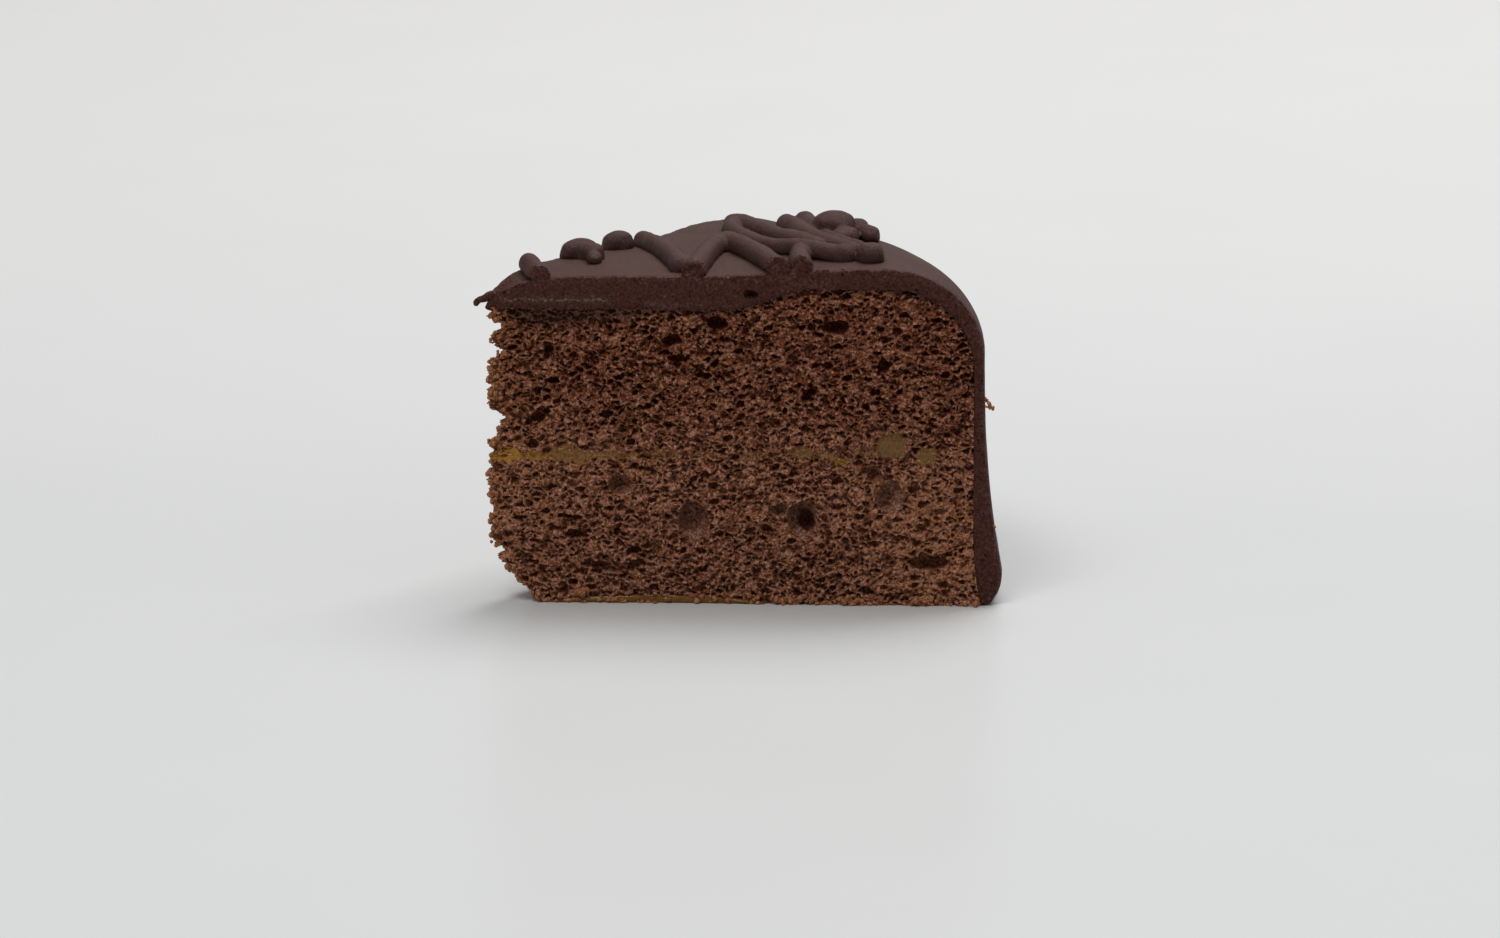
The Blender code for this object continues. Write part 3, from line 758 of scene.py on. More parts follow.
@dataclass(frozen=True)
class Crumb:
    """The porous crumb that every cut of the sponge and the jam shares."""

    warp: float = 0.38 * MM
    gap: float = 1.10 * MM  # depth of the gaps between clusters of crumb
    gap_size: float = 1.60 * MM
    swell: float = 0.50 * MM
    grain: float = 0.48 * MM
    grain_height: float = 0.46 * MM
    flat: float = 1.45  # gaps and pores are this much wider than high
    pores: tuple[tuple[float, float, float, int], ...] = (  # size, depth, share that is open, seed
        (1.55 * MM, 1.25 * MM, 0.50, 22),
        (0.95 * MM, 0.85 * MM, 0.62, 23),
    )
    sizes: tuple[Bubbles, ...] = (
        Bubbles(4.2 * MM, 0.26, 0.60 * MM, 1.20 * MM, 1.5, 11),
        Bubbles(2.0 * MM, 0.30, 0.35 * MM, 0.80 * MM, 1.8, 12),
    )

    def open(self, points: Array, inward: Array, loose: Array | float = 0.0) -> tuple[Array, Array, Array]:
        """Depth of the pores at points of a cut.

        Positions are first warped by noise so that nothing stays round. Pores of two sizes are the
        insides of cellular regions, so thin walls stand between them as in foam; a share of them is
        closed. Gaps open where a noise of four octaves is high, bubbles are cut where the knife met
        them, and grains lie over it all as the round tops of finer cellular noise.

        Args:
            points: positions, shape (..., 3).
            inward: unit vectors into the crumb, same shape.
            loose: 1 where the crumb has come apart, 0 on a clean cut.

        Returns:
            Displacement along inward in metres, a depth in metres that the finish paints as shade (the pores, the
            valleys between grains and a share of the swell), and the grains' tint.
        """
        shape = points.shape[:-1]
        p, n = points.reshape(-1, 3), inward.reshape(-1, 3)
        bent = p + np.stack([waves(p, 0.8 * MM, 31 + i, 3) for i in range(3)], -1) * self.warp
        wide = bent * np.array([1.0, 1.0, self.flat])
        deepest = self.gap * smoothstep(0.10, 0.55, waves(wide, self.gap_size, 45, 4))
        for size, depth, share, seed in self.pores:
            _, wall, number = cellular(wide, size, seed)
            opened = smoothstep(1 - share - 0.15, 1 - share + 0.25, number)
            deepest = np.maximum(deepest, depth * opened * smoothstep(0.06, 0.42, wall))
        holes = np.max([size.depth(bent, n) for size in self.sizes], axis=0)
        deepest = np.maximum(deepest, np.minimum(holes, 0.75 * MM + 0.45 * holes))
        distance, _, tint = cellular(bent * np.array([1.0, 1.0, 1.15]), self.grain, 21)
        valley = np.minimum(1.35 * distance**2, 1.0) * self.grain_height
        # The valleys between grains and a share of the swell join the depth that the finish paints as shade.
        deep = deepest + valley
        swell = waves(p * np.array([1.0, 1.0, 1.3]), 2.9 * MM, 42, 2) * self.swell
        moved = deep + swell - 0.42 * MM + valley * np.ravel(loose)
        deep = np.maximum(deep + 0.4 * swell, 0.0)
        return moved.reshape(shape), deep.reshape(shape), tint.reshape(shape)


@dataclass(frozen=True)
class LargeBubble:
    """One large bubble that the near cut opened: an ellipsoid at (x, z), in millimetres."""

    x: float
    z: float
    wide: float
    high: float
    deep: float
    dark: float = 1.0  # 0 for a smooth pale cup, 1 for a hole into the dark

    def depth(self, x: Array, z: Array) -> Array:
        """Depth below the cut, in metres: a steep hole where dark, a bowl leaning in at its top where pale."""
        dx, dz = (x / MM - self.x) / self.wide, (z / MM - self.z) / self.high
        lean = 1 + 0.55 * (1 - self.dark) * (dz - dx)
        return self.deep * MM * lean * np.maximum(0.0, 1 - dx**2 - dz**2) ** (0.75 - 0.3 * self.dark)


LARGE_BUBBLES = (
    LargeBubble(22.0, 19.3, 2.0, 1.7, 2.4, 0.35),
    LargeBubble(33.5, 13.4, 2.6, 3.3, 3.4, 0.1),
    LargeBubble(51.0, 13.9, 2.6, 3.1, 3.0, 0.1),
    LargeBubble(51.6, 13.4, 1.4, 1.6, 3.6, 1.0),
    LargeBubble(47.2, 15.3, 1.8, 1.1, 1.6, 0.2),
    LargeBubble(62.4, 21.4, 1.3, 1.2, 1.7, 0.6),
    LargeBubble(64.8, 17.6, 2.3, 2.7, 2.0, 0.0),
    LargeBubble(71.0, 7.0, 3.2, 1.2, 2.2),
    LargeBubble(37.2, 45.6, 1.7, 1.1, 2.0),
    LargeBubble(30.2, 42.8, 1.6, 0.9, 1.8),
    LargeBubble(31.2, 39.9, 1.7, 0.6, 1.6),
    LargeBubble(35.2, 37.2, 1.5, 0.6, 1.6),
    LargeBubble(56.2, 45.2, 2.2, 1.2, 2.0),
    LargeBubble(11.1, 36.2, 1.2, 0.5, 1.6),
    LargeBubble(10.7, 41.2, 0.8, 0.8, 1.4),
    LargeBubble(51.9, 34.6, 1.1, 0.9, 1.8),
    LargeBubble(63.8, 39.1, 0.9, 1.2, 1.6),
    LargeBubble(8.8, 30.2, 1.4, 0.8, 1.5),
    LargeBubble(19.6, 30.8, 1.2, 0.6, 1.4),
    LargeBubble(14.5, 11.2, 1.4, 0.7, 1.6),
    LargeBubble(24.2, 6.5, 1.1, 0.7, 1.5),
    LargeBubble(13.1, 14.2, 1.3, 0.4, 1.4),
    LargeBubble(21.4, 11.6, 0.6, 0.6, 1.4),
    LargeBubble(24.1, 8.6, 1.1, 0.55, 1.5),
    LargeBubble(18.4, 6.2, 2.0, 0.5, 1.5),
    LargeBubble(14.4, 3.4, 0.8, 0.5, 1.4),
    LargeBubble(29.3, 14.2, 0.45, 0.45, 1.3),
    LargeBubble(32.0, 8.5, 0.5, 0.5, 1.3),
)


@dataclass(frozen=True)
class JamPatch:
    """A place where jam shows at the cut: an ellipse about (x, z) in millimetres, soft at its edge."""

    x: float
    z: float
    wide: float
    high: float
    strength: float
    warm: float = 0.0  # 0 olive brown, 1 amber

    def share(self, x: Array, z: Array) -> Array:
        """1 inside the ellipse, falling to 0 over its outer third."""
        reach = ((x / MM - self.x) / self.wide) ** 2 + ((z / MM - self.z) / self.high) ** 2
        return self.strength * (1 - smoothstep(0.55, 1.45, reach))


JAM_PATCHES = (
    JamPatch(3.6, 24.1, 3.0, 1.2, 1.0, 1.0),
    JamPatch(9.0, 23.9, 3.4, 0.8, 0.85, 0.7),
    JamPatch(13.2, 24.2, 2.7, 1.6, 1.0, 0.2),
    JamPatch(15.5, 23.1, 1.4, 0.8, 0.9, 0.35),
    JamPatch(20.0, 24.0, 5.5, 0.7, 0.9, 0.35),
    JamPatch(28.5, 24.3, 3.8, 0.8, 0.75, 0.2),
    JamPatch(36.0, 24.3, 4.0, 0.6, 0.6, 0.1),
    JamPatch(43.5, 24.3, 2.8, 0.9, 0.75, 0.1),
    JamPatch(50.6, 24.7, 1.9, 1.2, 1.0, 0.15),
    JamPatch(54.5, 24.2, 2.6, 0.8, 0.75, 0.1),
    JamPatch(57.0, 23.4, 1.4, 0.7, 1.0, 0.45),
    JamPatch(61.0, 25.0, 2.4, 1.0, 0.75, 0.0),
    JamPatch(65.2, 26.0, 2.5, 2.3, 1.1, 0.0),
    JamPatch(70.7, 24.4, 1.7, 1.6, 1.0, 0.1),
)


def rim(grid: Array) -> Array:
    """The boundary of a grid's points as one closed loop, its first point repeated at the end."""
    loop = np.concatenate([grid[:, 0], grid[-1, 1:-1], grid[::-1, -1], grid[0, 1:-1][::-1]])
    return np.concatenate([loop, loop[:1]])


def jam_share(r: Array, z: Array, cut: Cut) -> tuple[Array, Array]:
    """How much jam shows at a cut, and how amber it is: the strongest patch's share and warmth."""
    x = r + 9.0 * MM * cut.value * np.sin(r / (5 * MM))
    share, warm = np.zeros(np.shape(r)), np.zeros(np.shape(r))
    for patch in JAM_PATCHES:
        here = patch.share(x, z)
        warm = np.where(here > share, patch.warm, warm)
        share = np.maximum(share, here)
    return share, warm


@dataclass
class Layer:
    """Half of one layer of the slice: a porous cut face and the plain walls behind it.

    The layer lies between two height functions of (r, turn). Its face grid runs along the cut and
    up; its boundary is then carried round to the middle of the wedge, where a fan closes it.
    """

    name: str
    torte: Torte
    crumb: Crumb
    cut: Cut
    bottom: Callable[[Array, Array], Array]
    top: Callable[[Array, Array], Array]
    span: tuple[float, float] = (0.0, 1.0)  # share of the way from the tip to the rim
    columns: int = 440
    rows: int = 140
    steps: int = 8

    def radii(self) -> Array:
        """Distances along the cut over the span, closer together where the shoulder bends down."""
        t = self.torte
        share = np.linspace(*self.span, self.columns)
        bend = 0.82  # the shoulder starts at this share
        straight = t.sponge_shoulder * np.minimum(share / bend, 1.0)
        turn = math.pi / 2 * np.clip((share - bend) / (1 - bend), 0, 1)
        return straight + (t.sponge_radius - t.sponge_shoulder) * np.sin(turn)

    def section(self, u: Array, v: Array, turn: Array) -> tuple[Array, Array]:
        """Radius and height of layer coordinates.

        Args:
            u: distance from the tip along the cut.
            v: 0 at the bottom, 1 at the top.
            turn: share of the wedge.

        Returns:
            (r, z), where the tip's notches fade out over the first 24 mm.
        """
        low, high = self.bottom(u, turn), self.top(u, turn)
        z = low + (high - low) * v
        fade = 1 - smoothstep(0.0, 24 * MM, u)
        r = u + self.torte.tip_reach(z) / np.cos(turn * self.torte.angle) * fade
        spread = (self.torte.sponge_side(z) - self.torte.sponge_radius) * smoothstep(60 * MM, 78 * MM, u)
        return r + spread, z

    def outward(self) -> Array:
        """Unit vector out of the cut face."""
        if self.cut is Cut.NEAR:
            return np.array([0.0, -1.0, 0.0])
        return np.array([-math.sin(self.torte.angle), math.cos(self.torte.angle), 0.0])

    def soaked(self, points: Array, r: Array, z: Array) -> Array:
        """Share of crumb darkened by the icing: a ragged band under it, deepest near the tip."""
        below = self.torte.sponge_top(r) - z + waves(points, 2.0 * MM, 63, 3) * 1.2 * MM
        band = 4.6 * MM - 3.4 * MM * smoothstep(14 * MM, 32 * MM, r)
        return (1 - smoothstep(0.25, 1.0, below / band)) * smoothstep(3 * MM, 6 * MM, r)

    def opened(self, points: Array, outward: Array, r: Array, z: Array, loose: Array) -> tuple:
        """Points moved in by the pores, and the values that the finishes read.

        Args:
            points: undisturbed points, shape (..., 3).
            outward: unit vectors, same shape.
            r, z: the points' radius and height in the section.
            loose: 1 on the crumbled tip, 0 on the clean cut.

        Returns:
            Moved points, and the finish's numbers by name.
        """
        move, deep, tint = self.crumb.open(points, -outward, loose)
        gloss = np.zeros_like(move)
        stir = waves(points, 1.6 * MM, 57, 3) * 0.9 * MM
        wet, warm = jam_share(r + stir, z + 0.6 * stir, self.cut)
        if self.cut is Cut.NEAR:
            sway = waves(points, 1.0 * MM, 51, 3) * 0.5 * MM
            side = waves(points, 1.0 * MM, 55, 3) * 0.4 * MM
            for bubble in LARGE_BUBBLES:
                hole = bubble.depth(r + sway, z + side)
                cup = smoothstep(0.0, 0.35 * MM, hole)
                move = move * (1 - cup * 0.5) + hole
                # Dark holes get a depth that the finish paints as shade.
                deep = deep * (1 - cup) + cup * bubble.dark * 1.4 * MM
                gloss = gloss * (1 - cup) + cup * (1 - bubble.dark)
        filled = smoothstep(0.35, 0.95, wet)
        move = move * (1 - 0.75 * filled) + 0.1 * MM * filled
        deep = deep * (1 - 0.85 * filled)
        move = move + loose * (waves(points, 1.5 * MM, 61, 2) * 1.0 + 0.45) * MM
        # Painted orange light near the crumbled tip, and a paler golden tone low by the rim.
        lower_corner = 0.6 * smoothstep(52 * MM, 74 * MM, r) * (1 - smoothstep(14 * MM, 27 * MM, z))
        dry = np.maximum(np.exp(-np.maximum(r - self.torte.tip_reach(z), 0) / (3.2 * MM)), lower_corner)
        values = {"wet": wet, "warm": warm, "tint": tint, "gloss": gloss, "dry": dry}
        # deep is the depth that the finish paints as shade.
        values |= {"deep": deep / MM, "soak": self.soaked(points, r, z)}
        # light is 1 low on the cut, where the finish paints more highlight on the grains, more orange light and less
        # shade in the pores.
        values["light"] = 1 - smoothstep(22 * MM, 36 * MM, z + waves(points, 4.0 * MM, 65) * 3 * MM)
        return points - outward * move[..., None], values

    def build(self, material: bpy.types.Material) -> bpy.types.Object:
        """Makes the layer's object: its cut face, the walls behind it and a fan at mid-wedge."""
        t = self.torte
        sign = 1.0 if self.cut is Cut.NEAR else -1.0
        turns = self.cut.value + sign * 0.5 * (np.linspace(0, 1, self.steps + 1) ** 1.3)
        u, v = self.radii(), np.linspace(0, 1, self.rows)
        r, z = self.section(u[:, None], v[None, :], turns[0])
        face = t.place(r, turns[0], z)
        corner = np.exp(-u / (0.9 * MM))[:, None, None]
        outward = (1 - 0.5 * corner) * self.outward() + corner * np.array([-0.6, 0.0, 0.0])
        outward = np.broadcast_to(outward / np.linalg.norm(outward, axis=-1, keepdims=True), face.shape)
        loose = np.exp(-u / (1.5 * MM))[:, None] * np.ones_like(z)
        face, values = self.opened(face, outward, r, z, loose)
        shell = Shell(self.name, creased=True)
        shell.grid(face, **values)
        edge_u, edge_v = rim(np.broadcast_to(u[:, None], r.shape)), rim(np.broadcast_to(v[None], r.shape))
        wall_r, wall_z = self.section(edge_u[None], edge_v[None], turns[1:, None])
        walls = t.place(wall_r, turns[1:, None], wall_z)
        at_tip = np.broadcast_to((edge_u == 0.0)[None], wall_r.shape).astype(float)  # 1 on the tip's wall
        out = np.broadcast_to(np.array([-1.0, 0.0, 0.0]), walls.shape)
        moved, wall_values = self.opened(walls, out, wall_r, wall_z, at_tip)
        walls = np.where(at_tip[..., None] > 0, moved, walls)
        walls = np.concatenate([rim(face)[None], walls])
        wall_values = {
            key: np.concatenate([rim(value)[None], wall_values[key] * at_tip]) for key, value in values.items()
        }
        shell.grid(walls, **wall_values)
        shell.fan(walls[-1, :-1], walls[-1].mean(axis=0))
        return shell.build(material)


@dataclass
class Sponge:
    """Both sponge layers and the jam between and under them."""

    torte: Torte
    crumb: Crumb = field(default_factory=Crumb)

    def build(self) -> None:
        """Makes each layer as a near and a far half."""
        crumb = CrumbFinish().material()
        t = self.torte
        ground = lambda r, turn: t.base_jam_top(r) + 0 * turn
        roof = lambda r, turn: t.sponge_top(r) + 0 * turn
        near = (Cut.NEAR, 430, 190, ((0.0, 0.5), (0.5, 1.0)))
        far = (Cut.FAR, 340, 110, ((0.0, 1.0),))
        for cut, columns, rows, spans in (near, far):
            for i, span in enumerate(spans):
                tag = f"{cut.name.lower()}_{i}" if len(spans) > 1 else cut.name.lower()
                for node, bottom, top, count, slot in (
                    ("sponge_lower", ground, t.jam_bottom, rows, "sponge"),
                    ("sponge_upper", t.jam_top, roof, rows + 14, "sponge"),
                    ("jam_filling", t.jam_bottom, t.jam_top, 11, "jam"),
                ):
                    layer = Layer(f"{node}_{tag}", t, self.crumb, cut, bottom, top, span, columns, count)
                    hand_over(layer.build(crumb), slot, node)
        self.base_film(crumb)

    def base_film(self, material: bpy.types.Material) -> None:
        """The film of jam under the slice: a flat lens, its edge at the near and far cuts."""
        t = self.torte
        low, high = t.base_jam
        r = np.linspace(low + 0.2 * MM, high - 0.2 * MM, 160)
        turns = np.linspace(0, 1, 40)
        v = np.linspace(0, 1, 6)
        shell = Shell("jam_under_slice")
        top = t.place(r[:, None], turns[None], t.base_jam_top(r)[:, None])
        under = t.place(r[:, None], turns[None], np.zeros((len(r), 1)))
        shell.grid(top, wet=np.ones(top.shape[:2]))
        shell.grid(under, wet=np.ones(top.shape[:2]))
        bulge = np.array([0.0, -0.35 * MM, 0.0]) * np.sin(math.pi * v)[None, :, None]
        for k in (0, -1):
            side = under[:, k, None] * (1 - v[None, :, None]) + top[:, k, None] * v[None, :, None]
            side = side + bulge * (1 + 2 * k) * (0.6 + waves(side, 3.0 * MM, 66, 2))[..., None]
            shell.grid(side, wet=np.full(side.shape[:2], 0.95), warm=np.full(side.shape[:2], 0.2))
            end = under[k, :, None] * (1 - v[None, :, None]) + top[k, :, None] * v[None, :, None]
            shell.grid(end, wet=np.ones(end.shape[:2]))
        hand_over(shell.build(material), "jam", "jam_base")


# ------------------------------------------------------------------ icing


@dataclass
class Icing:
    """The poured icing, with the knife's marks on its two cut edges and a curl torn at the nose."""

    torte: Torte
    along: int = 620
    across: int = 24
    around: int = 54
    edge: float = 0.28 * MM  # how far the cut's upper edge is rounded over
    seep: float = 0.55 * MM  # how far the icing sank into the crumb

    def relief(self, points: Array, r: Array, z: Array) -> Array:
        """Depth of the knife's pits in a cut edge: small bubbles, an air hole and a fine tear."""
        out = np.broadcast_to(np.array([0.0, 1.0, 0.0]), points.shape).reshape(-1, 3)
        flat = points.reshape(-1, 3)
        pits = Bubbles(1.3 * MM, 0.55, 0.10 * MM, 0.36 * MM, 1.2, 71).depth(flat, out).reshape(r.shape)
        tear = waves(points, 0.7 * MM, 72, 3) * 0.09 * MM + waves(points, 2.5 * MM, 73) * 0.08 * MM
        sway = waves(points, 0.9 * MM, 74, 2) * 0.3 * MM
        hole = LargeBubble(42.7, 50.5, 1.2, 0.75, 1.6).depth(r + sway, z + 0.6 * sway)
        return pits * 0.8 + tear + hole

    def skin(self, outer: Array, turns: Array) -> tuple[Array, Array]:
        """The outer surface, rounded over raggedly at both cuts, and its share of torn chocolate.

        Args:
            outer: section lines, shape (turns, along, 2).
            turns: shares of the wedge.

        Returns:
            Points, shape (turns, along, 3), and the torn share, 1 at the nose and on the cut edges.
        """
        t = self.torte
        points = t.place(outer[..., 0], turns[:, None], outer[..., 1])
        edge = np.minimum(turns, 1 - turns)[:, None] * t.angle * outer[..., 0]
        ragged = self.edge * (1 + 0.8 * waves(points, 0.8 * MM, 75, 2))
        over = np.exp(-((edge / ragged) ** 2))
        inward = np.stack([np.cos(turns * t.angle), np.sin(turns * t.angle), 0 * turns], -1)[:, None]
        steep = smoothstep(t.shoulder, t.radius, outer[..., 0])[..., None]
        low = np.array([0.0, 0.0, -1.0]) * (1 - steep) - inward * steep
        points = points + low * (over * ragged * 0.9)[..., None]
        ripple = waves(points, 7.0 * MM, 76, 2) * 0.10 * MM + waves(points, 1.6 * MM, 77, 2) * 0.022 * MM
        points = points + np.array([0.0, 0.0, 1.0]) * (ripple * (1 - steep[..., 0]))[..., None]
        points = points + inward * (ripple * steep[..., 0])[..., None]
        wander = waves(points, 1.5 * MM, 78, 3)
        nose = 1 - smoothstep(3.5 * MM, 8.0 * MM, outer[..., 0] + wander * 2 * MM)
        torn = np.maximum(nose, np.exp(-((edge / (0.35 * MM * (1.2 + wander))) ** 2)))
        return points, torn

    def cut_face(self, inside: Array, outside: Array, section: Array, way: Array) -> tuple[Array, dict]:
        """The cut edge between matching points of the inner and outer line.

        Args:
            inside, outside: the edge's points, shape (along, 3).
            section: inner and outer (r, z), shape (2, along, 2).
            way: unit vector into the slice.

        Returns:
            Points, shape (along, across, 3), and their values.
        """
        w = np.linspace(0, 1, self.across)[None, :]
        points = inside[:, None] * (1 - w[..., None]) + outside[:, None] * w[..., None]
        r, z = (section[0, :, None, i] * (1 - w) + section[1, :, None, i] * w for i in (0, 1))
        inner = np.clip(np.minimum(w, 1 - w) * (self.across - 1), 0, 1) * np.ones_like(r)
        inner[0], inner[-1] = 0, 0
        points = points + (self.relief(points, r, z) * inner)[..., None] * way
        height = (z - section[0, :, None, 1]) / MM
        wander = waves(points, 2.2 * MM, 79, 2)
        streak = np.exp(-(((height - 1.5 - 0.4 * wander) / 0.42) ** 2))
        streak = streak * smoothstep(1.5 * MM, 4.0 * MM, r) * (1 - smoothstep(19 * MM, 23 * MM, r))
        thick = np.linalg.norm(section[1] - section[0], axis=-1)[:, None]
        # Painted glints along the cut's upper edge.
        edge_glints = np.exp(-(((1 - w) * thick / (0.8 * MM)) ** 2)) * smoothstep(-0.3, 0.4, waves(points, 1.3 * MM, 68, 2))
        sugar = np.exp(-(((height - 0.9) / 0.6) ** 2)) * smoothstep(0.1, 0.5, waves(points, 3.0 * MM, 80))
        sugar = sugar * smoothstep(22 * MM, 26 * MM, r) * (1 - smoothstep(50 * MM, 60 * MM, r))
        # The pale line, the band above the crumb and the painted glints along the upper edge, in one value.
        return points, {"cut": np.ones_like(r), "streak": np.maximum.reduce([streak, 0.8 * sugar, 0.7 * edge_glints])}

    def build(self) -> None:
        """Makes the icing as one closed shell, and its curl."""
        t = self.torte
        material = ChocolateFinish("chocolate_icing").material()
        turns = 0.5 - 0.5 * np.cos(np.linspace(0, math.pi, self.around))
        nose = t.nose_blunt / np.cos(turns * t.angle)
        outer = t.icing_outline(nose, self.along)
        inner = t.icing_inside(nose + 0.2 * MM, self.along)
        outside, torn = self.skin(outer, turns)
        inside = t.place(inner[..., 0], turns[:, None], inner[..., 1])
        lines = np.stack([inner, outer])
        sink = self.seep * (0.5 + 0.5 * waves(inside, 2.6 * MM, 70, 2) + 0.5 * waves(inside, 1.0 * MM, 69, 2))
        steep = smoothstep(t.sponge_shoulder, t.sponge_radius, inner[..., 0])
        above_floor = smoothstep(0.0, 4 * MM, inner[..., 1])
        inside[..., 2] -= sink * (1 - steep) * above_floor
        shell = Shell("icing_poured")
        into = (np.array([0.0, 1.0, 0.0]), np.array([math.sin(t.angle), -math.cos(t.angle), 0.0]))
        for k, way in zip((0, -1), into):
            face, values = self.cut_face(inside[k], outside[k], lines[:, k], way)
            shell.grid(face, **values)
        shell.grid(outside, cut=torn)
        shell.grid(inside)
        w = np.linspace(0, 1, self.across)[None, :, None]
        for k in (0, -1):
            shell.grid(inside[:, k][:, None] * (1 - w) + outside[:, k][:, None] * w, cut=np.ones((self.around, self.across)))
        hand_over(shell.build(material), "icing", "icing")
        hand_over(self.curl(material), "icing")

    def curl(self, material: bpy.types.Material) -> bpy.types.Object:
        """The curl that the knife dragged off the nose, a tapering tube, and a drop below it."""
        curl = TornCurl(
            (
                (3.2, 1.4, 50.0),
                (1.6, 0.9, 49.7),
                (0.4, 0.5, 49.4),
                (-0.4, 0.3, 49.2),
                (-0.85, 0.2, 48.7),
                (-0.9, 0.2, 48.1),
            ),
            (1.0, 0.85, 0.66, 0.50, 0.46, 0.40),
        )
        drop = TornCurl(((2.2, 0.6, 49.0), (1.3, 0.4, 48.4), (0.75, 0.3, 47.6)), (0.8, 0.6, 0.42))
        shell = Shell("icing_curl")
        shift = np.array([*self.torte.shift, 0.0])
        for i, piece in enumerate((curl, drop)):
            rings = piece.rings(300 + i) + shift
            shell.grid(rings, cut=np.ones(rings.shape[:2]))
            for ring in (rings[0], rings[-1]):
                shell.fan(ring[:-1], ring.mean(axis=0), cut=1.0)
        return shell.build(material)


@dataclass(frozen=True)
class TornCurl:
    """A tapering thread of chocolate along points about the axis, in millimetres."""

    spine: tuple[tuple[float, float, float], ...]
    radii: tuple[float, ...]
    sides: int = 20
    steps: int = 60

    def rings(self, seed: int) -> Array:
        """Closed rings about a smooth spine, lumped by noise: shape (steps, sides + 1, 3)."""
        knots = np.linspace(0, 1, len(self.spine))
        at = np.linspace(0, 1, self.steps)
        spine = np.stack([np.interp(at, knots, column) for column in np.array(self.spine).T], -1)
        for _ in range(10):
            spine[1:-1] = 0.25 * spine[:-2] + 0.5 * spine[1:-1] + 0.25 * spine[2:]
        along = np.gradient(spine, axis=0)
        along /= np.linalg.norm(along, axis=1, keepdims=True)
        side = np.cross(along, [0.0, 1.0, 0.0])
        side /= np.linalg.norm(side, axis=1, keepdims=True)
        up = np.cross(side, along)
        angle = np.linspace(0, 2 * math.pi, self.sides + 1)
        ends = np.sqrt(np.clip(1 - (2 * at - 1) ** 8, 0.03, 1))
        radius = (np.interp(at, knots, self.radii) * ends)[:, None, None]
        arms = side[:, None] * np.cos(angle)[None, :, None] + up[:, None] * np.sin(angle)[None, :, None]
        rings = spine[:, None] + arms * radius
        lump = 1 + 0.42 * waves(rings, 0.7, seed, 2)[..., None]
        rings = spine[:, None] + arms * radius * lump
        rings[:, -1] = rings[:, 0]
        return rings * MM


# ------------------------------------------------------------------ piping


